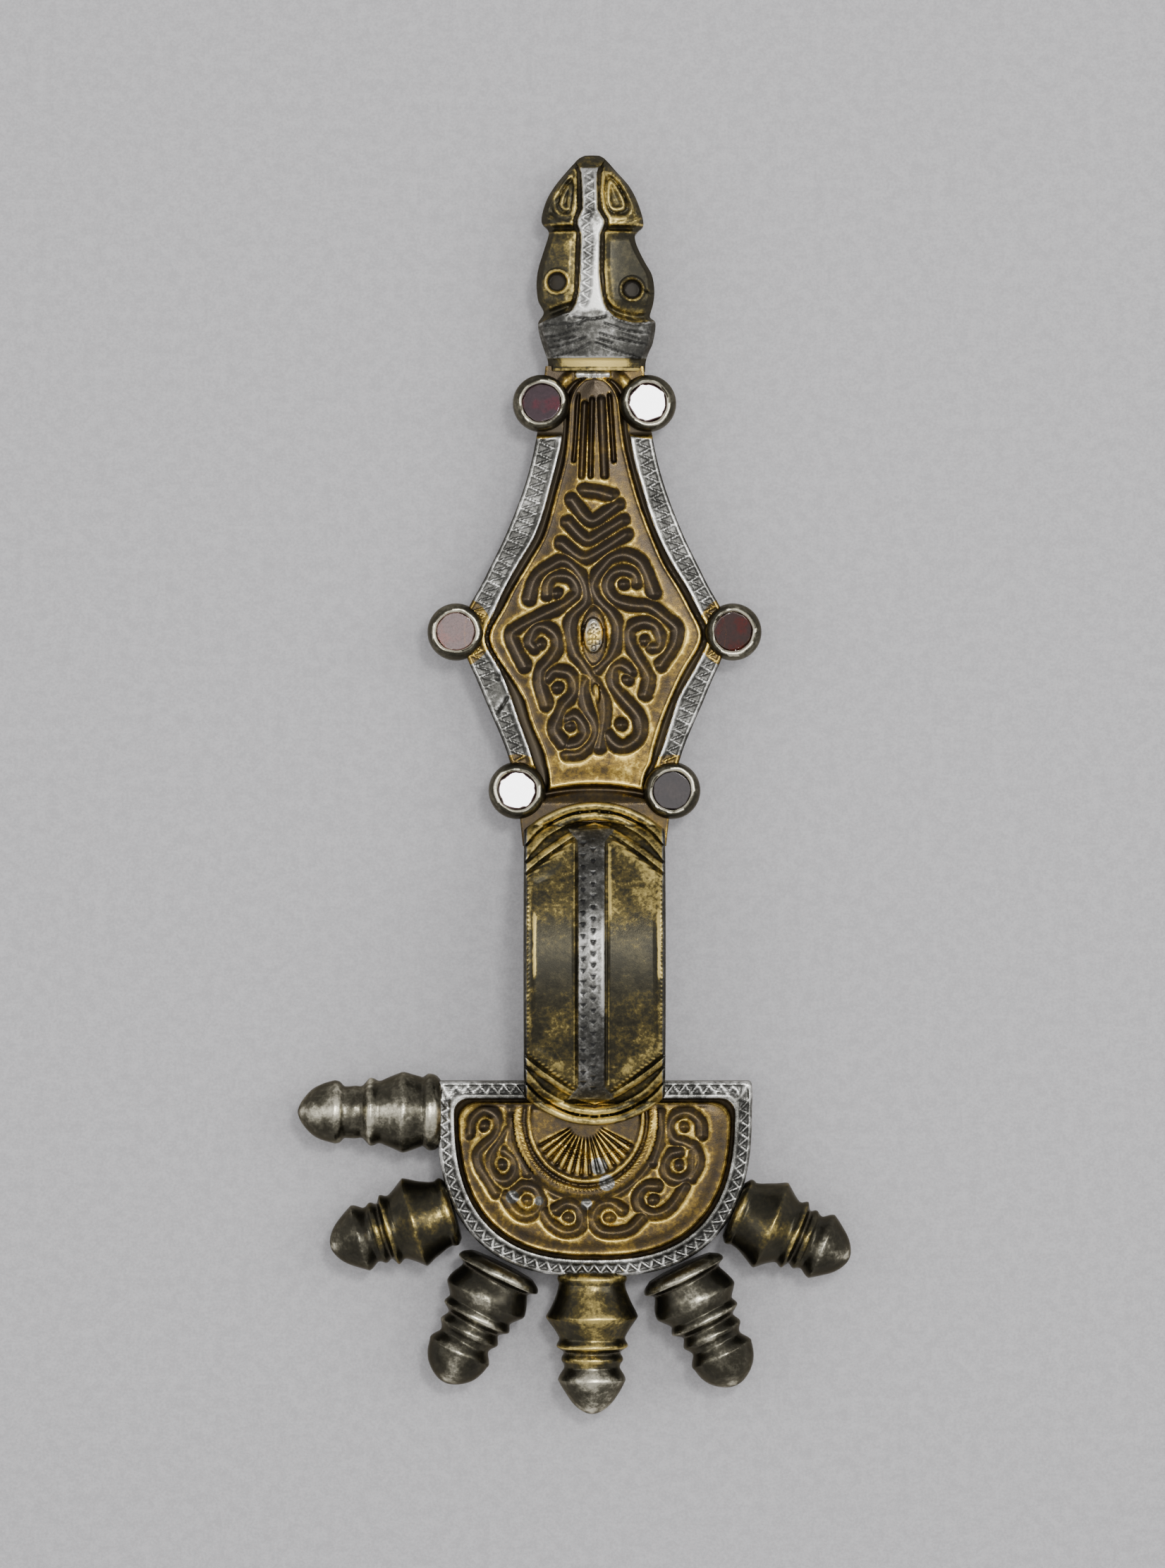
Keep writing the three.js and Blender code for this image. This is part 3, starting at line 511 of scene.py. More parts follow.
rays = np.linspace(0, 2 * math.pi, RAYS + 1)
rim_insets = np.concatenate([ROUNDED, np.arange(0.5, RIM + TRENCH_WIDTH + 0.01, 0.13)])
rings = [ring(inset, 0.4 + 0.7 * inset, rays) for inset in rim_insets]
field_edge = rings[-1]
for share in np.linspace(1, 0, FIELD_RINGS + 1)[1:]:
    rings.append(field_edge * share)
radii = np.array(rings[::-1])
x = POLE[0] + radii * np.cos(rays)
y = POLE[1] + radii * np.sin(rays)
FAR_IN = 9.0  # stands for the inset anywhere in the field
inset = np.concatenate([np.full(FIELD_RINGS, FAR_IN), rim_insets[::-1]])
inset = np.repeat(inset[:, None], RAYS + 1, 1)
print("head plate grid:", x.shape)

# %% [markdown]
# Round the fan, pairs of scrolls run down both sides and meet underneath. Their grooves are cut
# outside the crest that frames the fan; the fan itself has thirteen ribs.

# %% Lines of the head plate's carving
HEAD_PITS = [(-13.6, -20.1), (-11.4, -24.9), (-8.3, -29.4), (-3.2, -31.5), (11.1, -20.2), (10.5, -25.0),
             (7.3, -29.3), (1.9, -31.5)]
HEAD_GROOVES = [curve(points) for points in (
    [(-15.6, -21.0), (-15.2, -19.4), (-13.8, -18.2), (-12.3, -18.8), (-11.9, -20.2), (-12.5, -21.6),
     (-13.6, -22.6), (-14.4, -23.6), (-14.2, -25.1), (-13.3, -26.6), (-12.2, -28.4)],
    [(-10.9, -20.6), (-12.0, -22.3), (-12.9, -23.8), (-13.0, -25.2), (-12.2, -26.7), (-10.8, -26.9),
     (-9.9, -25.8), (-10.0, -24.3), (-11.2, -23.2)],
    [(-11.0, -28.9), (-9.8, -30.7), (-8.4, -31.3), (-7.0, -30.6), (-6.7, -29.2), (-7.4, -27.9),
     (-8.8, -27.6), (-9.9, -28.4)],
    [(-6.4, -30.8), (-5.3, -32.4), (-3.6, -33.3), (-2.0, -32.9), (-1.5, -31.6), (-2.1, -30.2),
     (-3.5, -29.8), (-4.8, -30.6)],
    [(13.3, -21.2), (13.1, -19.6), (11.6, -18.5), (9.9, -19.0), (9.3, -20.4), (9.9, -21.8),
     (11.3, -22.3), (12.6, -23.2), (12.9, -24.9), (12.0, -26.6)],
    [(12.3, -22.6), (12.2, -24.4), (12.0, -26.0), (10.7, -26.9), (9.2, -26.4), (8.7, -25.0),
     (9.4, -23.7), (10.7, -23.3)],
    [(11.2, -27.6), (10.2, -29.3), (9.0, -30.6), (7.3, -31.1), (5.8, -30.4), (5.4, -28.9),
     (6.3, -27.7), (7.8, -27.6)],
    [(6.0, -31.4), (4.5, -32.9), (2.6, -33.4), (0.7, -33.1), (-0.2, -31.6), (0.5, -30.1),
     (2.0, -29.7), (3.4, -30.6)],
    [(-10.3, -19.2), (-10.4, -22.0), (-9.2, -24.4), (-8.3, -26.0)],
    [(8.2, -18.6), (8.4, -20.6), (8.0, -22.6), (7.3, -24.6)],
)]

# %% The head plate's zones and carving
in_rings = inset == FAR_IN
into_field = np.where(in_rings, field_edge - radii, inset - RIM - TRENCH_WIDTH)
rim = step(RIM + 0.2 - inset, 0, 0.2)
z, shoulder = sunk_field(into_field, TRENCH, dish=0.14, reach=2.0)
cuts = carved(x, y, HEAD_GROOVES, HEAD_PITS, half=1.0, depth=HEAD_CUT, pit=0.95)
angle = np.arctan2(y - FAN_Y, x - FAN_X)
beyond = (np.hypot((x - FAN_X) / FAN_RX, (y - FAN_Y) / FAN_RY) - 1) * 8.5  # millimetres past the fan
cuts = cuts * (beyond > 0.8)
beads = 0.07 * np.sin(angle * 110) * hump(beyond, 0.0, 0.35)
frame_of_fan = 0.4 * hump(beyond, -0.6, 0.5) + 0.35 * fade(beyond, -1.7, -1.15) - beads
turn = (angle + math.pi / 2) / RIB_PITCH
between_ribs = np.abs(np.mod(turn + 0.5, 1) - 0.5) * 2
in_fan = fade(beyond, -2.0, -1.6) * step(beyond, -6.4, -5.6) * (np.abs(turn) < 7)
ribs = 0.4 * in_fan * step(between_ribs, 0.25, 0.9)
outside_fan = np.maximum(cuts, 0.3 * hump(beyond, 1.3, 0.8))
carving = outside_fan * (beyond > 0) + (frame_of_fan + ribs) * (beyond <= 0)
carving = carving * step(into_field, 0.3, 1.5)
z = z - carving
print("deepest cut in the head plate:", round(float(carving.max()), 2), "mm")

# %% [markdown]
# The triangles of the rim are counted out along its middle, so that they close without a gap.

# %% The head plate's rim
PERIOD = 1.5
mid_line = ring(1.1, 1.0, rays)
mid_x, mid_y = mid_line * np.cos(rays), mid_line * np.sin(rays)
rim_length = np.concatenate([[0], np.cumsum(np.hypot(np.diff(mid_x), np.diff(mid_y)))])
rim_length = rim_length * PERIOD * round(rim_length[-1] / PERIOD) / rim_length[-1]
along = np.where(y > HEAD_TOP - 2.2, x, np.repeat(rim_length[None, :], x.shape[0], 0))
tri = zigzag(along, inset, 0.4, 1.6, period=PERIOD) * rim
rim_top = PLATE - round_edge(inset, 0.45) - 0.2 * tri + 0.06 * hump(inset, 1.85, 0.3)
z = z + (rim_top - z) * rim
print("punched triangles round the head plate:", round(rim_length[-1] / PERIOD), "pairs")

# %% [markdown]
# The gilding is rubbed through to the silver at the bottom of the fan and on some leaves below it.

# %% The head plate's rubbing, tarnish and painted highlight
SILVER_SPOTS = ((0.5, -25.2, 1.7), (1.5, -27.2, 1.6), (-1.0, -29.9, 1.1), (-10.2, -29.0, 1.3),
                (-6.9, -29.5, 0.9))  # x, y, reach
head_relief = stands_out(z, 3)
spots = [hump(np.hypot(x - spot_x, y - spot_y), 0, reach) for spot_x, spot_y, reach in SILVER_SPOTS]
worn_to_silver = np.clip(np.maximum.reduce(spots) * 2.5, 0, 1)
between_cuts = fade(nearest(x, y, HEAD_GROOVES, 2.5), 1.3, 1.7) * (cuts < 0.2) * (beyond > 1)
head_tone = layered(
    tarnish=-0.15 * (1 - rim) - 0.03 * rim,
    lighter_to_the_sides=0.04 * step(np.abs(x), 8, 15) * (1 - rim),
    lighter_to_the_bottom=0.14 * step(-y, 27.5, 31) * (1 - rim),
    darker_to_the_left=-0.05 * step(-x, 8, 12) * (1 - rim),
    # painted highlight along the thin lip at the field's edge
    lip=0.16 * hump(into_field, 0.12, 0.26) * (1 - in_rings),
    fan=0.14 * in_fan,
    crests_of_the_scrolls=0.07 * between_cuts,
    plain_ground=-0.06 * (1 - between_cuts) * (beyond > 2) * (cuts < 0.05),
    bottoms_of_the_cuts=-0.04 * np.clip(carving / HEAD_CUT, 0, 1),
    bare_silver=0.12 * worn_to_silver,
    outer_edge=-0.16 * rim * fade(inset, 0.1, 0.4),
    top_left_rim=-0.1 * rim * fade(np.abs(x + 12), 5, 9) * step(y, -20, -16),
    top_right_rim=0.08 * rim * step(x, 2, 6) * step(y, -18, -16),
    left_rim=0.30 * rim * step(-x, 12, 16) * step(y, -30, -20),
    bottom_rim=0.05 * rim * step(-y, 34, 37),
)

# %% The head plate's sides, back and skin
BACK_SHARES = (0.98, 0.6, 0.0)
edge_x, edge_y, edge_z = x[-1:], y[-1:], z[-1:]
layers = [(x, y, z)]
for level in SIDE_LEVELS:
    layers.append((edge_x, edge_y, edge_z * level))
for share in BACK_SHARES:
    layers.append((POLE[0] + (edge_x - POLE[0]) * share, POLE[1] + (edge_y - POLE[1]) * share, edge_z * 0))
head = np.stack([np.vstack(parts) for parts in zip(*layers)], 2)


def with_back(mask):
    """A mask of the face, carried on over the sides and the back with 0."""
    return np.vstack([mask, np.zeros((head.shape[0] - mask.shape[0], mask.shape[1]))])


head_masks = {
    "crest": with_back(np.clip(head_relief / 0.10, 0, 1) * (1 - 0.6 * rim * hump(inset, 1.85, 0.5))),
    "deep": with_back(np.clip(0.3 * carving + 0.8 * (1 - shoulder), 0, 1) * (1 - rim)),
    "gilt": with_back((1 - rim) * (1 - 0.75 * worn_to_silver)),
    "niello": with_back(tri * 0.4),
    "tone": with_back(head_tone),
}
head_plate = wrapped_grid("head_plate", head, head_masks)

# %% [markdown]
# ## The bow
# The high arch that takes up the folds of the cloak. Two sunk gilded fields lie beside a raised
# silver band; round mouldings cross both ends. The grid follows the arch, so its rows stay even.

# %% Measures of the bow
BOW_HALF, BOW_OUTER, BOW_INNER, BOW_DROP = 8.75, 21.5, 18.4, 10.0
BAND_X, BAND_HALF, BAND_OUTER = -0.39, 1.8, 22.4
FRAME_HALF, FRAME_SHOULDER, FRAME_TIP = 8.2, 10.7, 17.2
MOULDING_Y, SLAB = 7.5, 3.1
MARK_PITCH = 1.41
MOULDINGS = [(curve(points), width, height) for points, width, height in (
    ([(0, 17.1), (2, 16.5), (4, 15.3), (6, 13.9), (7.4, 12.8), (8.8, 11.6)], 0.42, 0.45),
    ([(0, 18.4), (3, 17.9), (6, 16.3), (7.6, 14.7), (8.8, 13.2)], 0.55, 0.6),
    ([(0, 19.6), (3, 19.2), (6, 17.9), (7.6, 16.7), (8.8, 15.3)], 0.6, 0.65))]
PUNCHED = [curve(points) for points in (
    [(-5.9, 9.4), (-5.0, 7.7), (-4.75, 6.2)], [(-3.6, 11.1), (-2.6, 11.5)],
    [(-6.4, -3.6), (-4.8, -3.3), (-3.0, -3.8)], [(-6.8, -7.9), (-5.4, -10.0), (-4.0, -12.0)],
    [(2.2, 10.3), (4.0, 9.9), (5.3, 10.8)], [(2.2, 4.7), (4.0, 4.5), (4.7, 5.5), (7.3, 5.7)],
    [(3.1, -1.4), (4.2, -1.1), (5.5, 0.3), (7.0, 1.1)], [(5.5, -1.7), (7.4, -2.7)],
    [(2.7, -6.1), (4.1, -6.0)], [(4.5, -9.5), (6.8, -7.9)])]


def arch(y, radius):
    return np.sqrt(np.clip(radius ** 2 - y ** 2, 0, None)) - BOW_DROP


# %% The bow's grid
BOW_ROWS, BOW_COLUMNS = 330, 140
END_TURN, END_PACE = 0.98, 19.0  # past this angle from the crown the rows keep an even pace
turn = np.linspace(-1, 1, BOW_ROWS + 1) * 1.12
past_end = np.abs(turn) - END_TURN
y_row = np.where(past_end < 0, BOW_OUTER * np.sin(turn),
                 np.sign(turn) * (BOW_OUTER * math.sin(END_TURN) + past_end * END_PACE))
x = np.repeat((BOW_HALF * np.linspace(-1, 1, BOW_COLUMNS + 1))[None, :], BOW_ROWS + 1, 0)
y = np.repeat(y_row[:, None], x.shape[1], 1)
across, lengthways = np.abs(x), np.abs(y)
print("bow grid:", x.shape)

# %% [markdown]
# A beaded ridge, a long hexagon in plan, frames the sunk fields. The band runs over the crown
# between them, and three round mouldings follow one another where the bow meets each plate.

# %% The bow's relief
corners = [(FRAME_HALF, FRAME_SHOULDER), (FRAME_HALF, -FRAME_SHOULDER), (0, -FRAME_TIP)]
corners += [(-corner_x, -corner_y) for corner_x, corner_y in corners] + corners[:1]
from_frame = distance(x, y, np.array(corners), 4)
tapering = across / FRAME_HALF * (FRAME_TIP - FRAME_SHOULDER) + lengthways
inside = (tapering < FRAME_TIP) & (across < FRAME_HALF)
signed = np.where(inside, from_frame, -from_frame)
from_band = np.abs(x - BAND_X)
bevel = 1.05 + 0.95 * step(lengthways, 9.0, 11.5)
lift = 0.5 * np.where(inside, fade(signed, 0.1, bevel), fade(-signed, 0.1, 0.6))
beads = 0.08 * np.sin(2 * math.pi * (y + 0.4 * across) / 0.55) * hump(signed, -0.1, 0.35)
lift = lift + beads + 0.16 * hump(from_band, 2.1, 0.25) * (lengthways < 15)
band_half = BAND_HALF + 1.3 * step(lengthways, 15.0, 17.0)
band = step(band_half - from_band, 0, 0.25) * fade(lengthways, 16.6, 17.0)
crown = (BAND_OUTER - BOW_OUTER) * (1 - 0.35 * np.clip(from_band / BAND_HALF, 0, 1) ** 2)
lift = lift * (1 - band) + crown * band
z = np.maximum(arch(y, BOW_OUTER) + lift, 2.2)
ground = np.maximum(arch(y, BOW_OUTER + 0.1), SLAB)
for line, width, height in MOULDINGS:
    off = distance(across, lengthways, line, 1.0) / width
    z = np.maximum(z, (ground + height * dome(off)) * (off < 1))
tail = step(np.hypot(x, lengthways - MOULDING_Y), 12.4, 12.9) * (lengthways > MOULDING_Y)
z = z * (1 - tail) + 1.2 * tail
z = z - round_edge(BOW_HALF - across, 0.6)
print("crown of the bow:", round(float(z.max()), 2), "mm high")

# %% [markdown]
# Two rows of nielloed wedges run down the band, out of step; short rows of punched dots cross the
# gilded fields.

# %% The bow's punched marks
marks = np.zeros_like(x)
for column, start in ((-1.42, 0.0), (-0.18, 0.5)):
    phase = (np.mod(y / MARK_PITCH + start, 1) - 0.5) * MARK_PITCH
    wedge = np.minimum(0.36 - phase, phase + 0.36 - 1.5 * np.abs(x - column))
    marks = np.maximum(marks, step(wedge, 0, 0.1))
marks = marks * (lengthways < 15.5)
z = z - 0.16 * marks * band
dots = fade(nearest(x, y, PUNCHED, 1.0), 0.05, 0.2)
dots = dots * step(np.sin(2 * math.pi * (x + 0.6 * y) / 0.42), -0.5, 0.5)

# %% The bow's rubbing, tarnish and painted light
bow_relief = stands_out(z - arch(y, BOW_OUTER), 3)
field = inside * (1 - band)
middle = fade(np.abs(y - 0.3), 3.5, 7.0)
glint_at = np.where(x > 0, 0.3, 0.8)
bow_tone = layered(
    # painted highlight: the band is made bright over the crown of the arch, where it faces the soft box,
    # with a brighter streak on its right
    rubbed_band=0.24 * band * middle,
    bright_right_of_the_band=0.3 * band * middle * hump(x, 1.1, 0.5),
    tarnished_fields=-0.04 * field,
    right_field=(0.02 + 0.07 * step(y, 3, 9)) * step(x, 0, 3) * field,
    # painted light on the fields towards both ends of the arch
    lighter_to_the_ends=(0.15 * step(y, 3, 8) + 0.06 * step(-y, 3, 8)) * field,
    dark_crown=-0.19 * hump(y, 0.5, 6) * field,
    glint_on_the_bevels=0.9 * field * hump(signed, glint_at, 0.36) * fade(np.abs(y - 2.4), 3.2, 4.6),
    lower_bevels=0.14 * field * hump(signed, 0.9, 1.0) * step(-y, 9.5, 11.5),
    upper_bevels=-0.12 * field * hump(signed, 1.2, 1.3) * step(y, 8.5, 11),
    mouldings=0.06 * (1 - inside) * step(lengthways, 12, 14),
    gold_line_beside_the_band=0.4 * hump(x, 1.9, 0.3) * step(y, 5, 7) * (y < 14.5),
    dots=0.12 * dots * field,
    dark_outside_the_frame=-0.2 * hump(signed, -0.1, 0.3) * (across > 7.4),
    dark_sides=-0.15 * (across > 8.35),
)
under = np.where(np.abs(y_row) < 15.4, arch(y_row, BOW_INNER), 0)[:, None]
bow_points = closed_loop(x, y_row, z, np.clip(under, 0, None))
columns = bow_points.shape[1]
bow_masks = {
    "crest": padded(np.clip(bow_relief / 0.16, 0, 1) * (1 - 0.75 * band) * (across < 8.4), columns, 0),
    "deep": padded(0.3 * field * step(signed, 1.0, 1.6) + 0.5 * tail, columns, 0.4),
    "gilt": padded((1 - band) * (1 - 0.7 * (across > 8.35)), columns, 0.3),
    "niello": padded(marks * band * 0.9, columns, 0),
    "tone": padded(bow_tone, columns, 0),
}
bow = wrapped_grid("bow", bow_points, bow_masks)

# %% [markdown]
# ## The animal head
# The foot ends in a beast's head seen from above: a snout with two curled nostrils, a silver band
# down the nose, deep round eyes that may once have held stones, and a ridged collar at the neck.

# %% Lines of the animal head
SNOUT_LEFT = [(-5.8, 73.6), (-5.8, 74.9), (-6.2, 76.1), (-6.8, 78.0), (-7.0, 79.6), (-6.3, 80.9),
              (-7.0, 82.4), (-7.2, 84.3), (-7.0, 86.2), (-6.3, 88.5), (-5.7, 90.4), (-5.8, 91.2),
              (-6.6, 92.3), (-6.06, 94.6), (-5.0, 96.5), (-3.4, 98.5), (-2.5, 99.5), (-1.9, 100.1),
              (-1.2, 100.45)]
SNOUT_RIGHT = [(6.3, 73.6), (6.4, 74.9), (6.8, 76.1), (7.3, 77.3), (7.6, 79.6), (6.9, 80.4), (7.3, 82.0),
               (7.45, 83.6), (7.15, 85.5), (6.25, 87.1), (5.3, 89.0), (5.0, 90.3), (5.4, 91.0),
               (6.1, 91.9), (5.43, 94.4), (4.37, 96.5), (2.73, 98.4), (1.8, 99.5), (1.2, 100.1),
               (0.6, 100.45)]
# the silver band down the nose: y, left edge, right edge
BAND_EDGES = np.array([(80.3, -3.4, 2.2), (81.0, -2.8, 1.6), (81.9, -2.3, 1.2), (83.3, -1.96, 0.86),
                       (85.7, -1.84, 0.62), (90.4, -1.68, 0.7), (91.6, -2.1, 1.2), (92.2, -2.1, 1.2),
                       (93.6, -1.5, 0.4), (98.1, -1.65, 0.3), (99.0, -1.9, 0.6), (100.4, -2.4, 1.4)])
COLLAR_TOP = curve([(-7.6, 79.3), (-4.8, 80.2), (-2.8, 81.0), (-0.6, 81.8), (1.5, 81.1), (2.5, 80.2),
                    (3.9, 79.7), (5.4, 79.5), (8.0, 79.9)])
COLLAR_STROKES = [curve(points) for points in (
    [(-6.6, 76.3), (-4.2, 76.6), (-1.2, 77.6)], [(-6.9, 77.7), (-4.6, 77.9), (-2.0, 78.6)],
    [(-6.9, 79.0), (-4.4, 79.3), (-1.6, 79.2)], [(-5.4, 75.2), (-2.6, 75.9), (-0.6, 76.9)],
    [(-3.4, 78.9), (-0.9, 79.9)], [(-5.0, 77.2), (-2.4, 77.7)], [(-2.8, 80.3), (-0.4, 79.9), (1.6, 80.3)],
    [(0.2, 76.9), (2.6, 76.0), (5.6, 75.2)], [(0.6, 78.1), (3.2, 77.4), (6.6, 76.8)],
    [(1.2, 79.4), (4.0, 78.5), (7.2, 78.2)], [(0.4, 77.4), (2.2, 76.9)], [(3.4, 78.1), (5.6, 77.4)],
)]
EYES = ((-4.65, 84.5, 1.25), (4.66, 83.6, 1.2))  # x, y, radius
NOSTRILS = [curve(points, closed=True) for points in (
    [(-2.3, 98.3), (-4.3, 96.9), (-5.7, 94.6), (-6.0, 92.9), (-4.6, 92.0), (-2.7, 92.0), (-2.2, 93.6),
     (-2.1, 96.5)],
    [(1.2, 98.5), (3.4, 97.0), (4.7, 95.0), (5.6, 92.6), (3.8, 92.0), (1.7, 92.1), (0.9, 94.0), (0.7, 96.5)],
)]
INNER_CURLS = [curve(points, closed=True) for points in (
    [(-3.0, 97.6), (-4.2, 96.0), (-5.0, 94.4), (-4.3, 92.9), (-3.0, 92.9), (-2.6, 94.6), (-2.5, 96.6)],
    [(1.5, 98.0), (2.9, 97.2), (3.9, 95.5), (4.6, 93.5), (3.9, 92.7), (2.5, 92.6), (1.4, 93.4), (0.9, 95.5)],
    [(-3.1, 96.5), (-3.9, 95.2), (-4.1, 94.0), (-3.3, 93.6), (-3.1, 95.0)],
    [(2.0, 97.0), (3.0, 95.7), (3.6, 94.0), (2.7, 93.5), (1.9, 94.0), (1.7, 95.6)],
)]
CRACK = np.array([(6.2, 83.5), (6.9, 83.1), (7.5, 83.3)])

# %% The animal head's grid
HEAD_ROWS, HEAD_COLUMNS = 210, 120
CROWDING = math.pi / 2 * 0.9  # the columns stand closer towards the sides, as on a round back
y_row = np.linspace(73.6, 100.45, HEAD_ROWS + 1)
left_line, right_line = curve(SNOUT_LEFT), curve(SNOUT_RIGHT)
left = np.interp(y_row, left_line[:, 1], left_line[:, 0])[:, None]
right = np.interp(y_row, right_line[:, 1], right_line[:, 0])[:, None]
u = np.sin(np.linspace(-1, 1, HEAD_COLUMNS + 1) * CROWDING) / math.sin(CROWDING)
x = (left + right) / 2 + (right - left) / 2 * u
y = np.repeat(y_row[:, None], x.shape[1], 1)
inset = np.minimum(x - left, right - x)
band_left = np.interp(y, BAND_EDGES[:, 0], BAND_EDGES[:, 1])
band_right = np.interp(y, BAND_EDGES[:, 0], BAND_EDGES[:, 2])
into_band = np.minimum(x - band_left, band_right - x)
print("animal head grid:", x.shape)

# %% [markdown]
# The head is a low round back. A groove sets off the nose band, the cheeks swell beside it, and the
# nostrils are rings and curls in relief on a snout that falls away to the tip.

# %% The nose band, the nostrils and the cheeks
base = 6.0 * dome(np.hypot(x / 10, (y - 86) / 21)) - 1
base = base - 0.8 * step(-inset, -0.8, 0) - round_edge(inset, 0.7) * 0.6
groove = hump(into_band, -0.3, 0.42) * step(y, 80.5, 81.2) * fade(y, 98.8, 99.2)
snout = step(y, 91.7, 92.1) * (into_band < -0.2)
from_nostril = nearest(x, y, NOSTRILS, 2)
beading = 0.05 * np.sin(2 * math.pi * (y - 0.5 * np.abs(x)) / 0.5) * hump(from_nostril, 0, 0.3)
curls = 0.5 * hump(from_nostril, 0.1, 0.75) + 0.42 * hump(nearest(x, y, INNER_CURLS, 2), 0, 0.62)
z = base - 0.5 * groove + (curls + beading - 0.5) * snout
z = z - 0.75 * hump(y, 91.2, 0.6) * (into_band < 0)
cheek = step(y, 81, 82.4) * fade(y, 89.5, 91) * step(-into_band, 0.5, 1.4)
z = z + 0.3 * cheek + 0.18 * step(into_band, -0.05, 0.3) * step(y, 78.5, 81)

# %% The collar and the eyes
collar_y = np.interp(x, COLLAR_TOP[:, 0], COLLAR_TOP[:, 1])
collar = step(collar_y - y, -0.1, 0.15) * step(y, 74.9, 75.3)
z = z - 0.55 * hump(y - collar_y, 0.75, 0.75) * step(-into_band, 0.0, 0.3)
z = z + 0.3 * collar * (1 - step(into_band, -0.3, 0.3) * step(y, 79, 80.6))
z = z + 0.2 * hump(collar_y - y, 0.15, 0.25) * (x > 1.5)
eye_deep = np.zeros_like(x)
for eye_x, eye_y, radius in EYES:
    off = np.hypot(x - eye_x, y - eye_y)
    z = z + 0.3 * hump(off, radius + 0.22, 0.3) - fade(off, radius - 0.35, radius)
    eye_deep = np.maximum(eye_deep, fade(off, radius - 0.3, radius))

# %% The animal head's punching and its tip
LOWEST, TIP_STARTS, TIP_FALL = 0.9, 95.4, 5.25
strokes = fade(nearest(x, y, COLLAR_STROKES, 1.0), 0.02, 0.17) * collar
tri = zigzag(y, x - band_left, 0.25, 1.6, period=1.35) * step(into_band, 0.1, 0.3)
tri = tri * step(y, 81, 82) * fade(y, 98.2, 98.6)
z = z - 0.12 * strokes - 0.13 * tri - 0.35 * hump(distance(x, y, CRACK, 1), 0, 0.2)
towards_tip = np.clip(y - TIP_STARTS, 0, None) / TIP_FALL
z = LOWEST + (np.clip(z, LOWEST, None) - LOWEST) * dome(towards_tip)
print("animal head:", round(float(z.max()), 2), "mm high")

# %% The animal head's rubbing, tarnish and painted shade
beast_relief = stands_out(z - base, 3)
is_band = step(into_band, -0.05, 0.1) * step(y, 80, 80.4) * fade(y, 98.4, 99.0)
low_band = is_band * fade(y, 83.5, 86.5) * step(y, 80.6, 81.6)
flank = fade(inset, 0.3, 0.9)
neck_end = fade(y, 74.9, 75.2)
gold_step = fade(y, 74.8, 75.5) * step(y, 73.9, 74.2) * fade(np.abs(x), 2.6, 5.2)
beast_tone = layered(
    rubbed_band=0.21 * is_band + 0.58 * low_band,
    bright_step_at_the_neck=0.95 * gold_step - 0.12 * neck_end,
    collar=-0.02 * collar,
    edge_of_the_collar=0.2 * hump(y - collar_y, 0.1, 0.22) * step(x, 1.5, 3),
    cheek_beside_the_band=0.1 * cheek * hump(into_band, -1.2, 1.2),
    left_cheek=0.03 * cheek * step(-x, 0, 2),
    right_cheek=-0.2 * cheek * step(x, 0, 2),
    nostrils=snout * (0.1 * step(x, 0, 1) - 0.06 * step(-x, 0, 1)),
    # painted shade on the steep flanks of the head
    dark_flanks=-0.22 * flank * (1 - collar),
    # painted shade on the tip, where the snout falls away
    dark_tip=-0.1 * step(y, 98.4, 99.2) * (1 - is_band),
)
gilded = np.clip(1 - is_band - collar, 0, 1) * (0.62 + 0.38 * flank) + 0.38 * neck_end
beast_points = closed_loop(x, y_row, z, 0.0)
columns = beast_points.shape[1]
beast_masks = {
    "crest": padded(np.clip(beast_relief / 0.16, 0, 1) * (1 - 0.5 * collar), columns, 0),
    "deep": padded(np.clip(0.2 * (1 - is_band) + eye_deep + 0.7 * groove, 0, 1), columns, 0.3),
    "gilt": padded(gilded, columns, 0.3),
    "niello": padded(tri * (0.3 + 0.3 * low_band) + 0.45 * strokes + 0.6 * eye_deep, columns, 0),
    "tone": padded(beast_tone, columns, 0),
}
animal_head = wrapped_grid("animal_head", beast_points, beast_masks)

# %% [markdown]
# ## Collets and garnets
# Each garnet sits in a collet, a short silver tube whose lip was rubbed over the stone, so the rim
# is uneven. A profile spun round the axis makes the tube; the lip is then pushed in and out a little.

# %% Spinning a profile
def spun(profile, steps=72):
    """A closed bmesh from (radius, height) points spun round the z axis."""
    bm = bmesh.new()
    verts = [bm.verts.new((radius, 0, height)) for radius, height in profile]
    edges = [bm.edges.new(pair) for pair in zip(verts[:-1], verts[1:])]
    bmesh.ops.spin(bm, geom=verts + edges, cent=(0, 0, 0), axis=(0, 0, 1), angle=2 * math.pi,
                   steps=steps, use_merge=True)
    bmesh.ops.remove_doubles(bm, verts=bm.verts, dist=1e-4)
    return bm


def ripple(angle, seed, waves=(2, 3, 5, 9)):
    """An uneven line round a circle, about -1 to 1, that is the same each time."""
    sizes = (1, 0.8, 0.5, 0.35)
    return sum(size * math.sin(wave * angle + seed * (wave + 1.7)) for wave, size in zip(waves, sizes)) / 1.8



# %% Collets
LIP_STARTS, LIP_HEIGHT = 3.6, 0.7
COLLET_PROFILE = [(0, 2.6), (2.45, 2.6), (2.45, 3.75), (2.38, 3.95), (2.42, 4.12), (2.56, 4.25), (2.74, 4.3),
                  (2.95, 4.2), (3.15, 3.95), (3.35, 3.5), (3.5, 2.8), (3.57, 1.6), (3.5, 0.5), (3.4, 0.02),
                  (0, 0.02)]


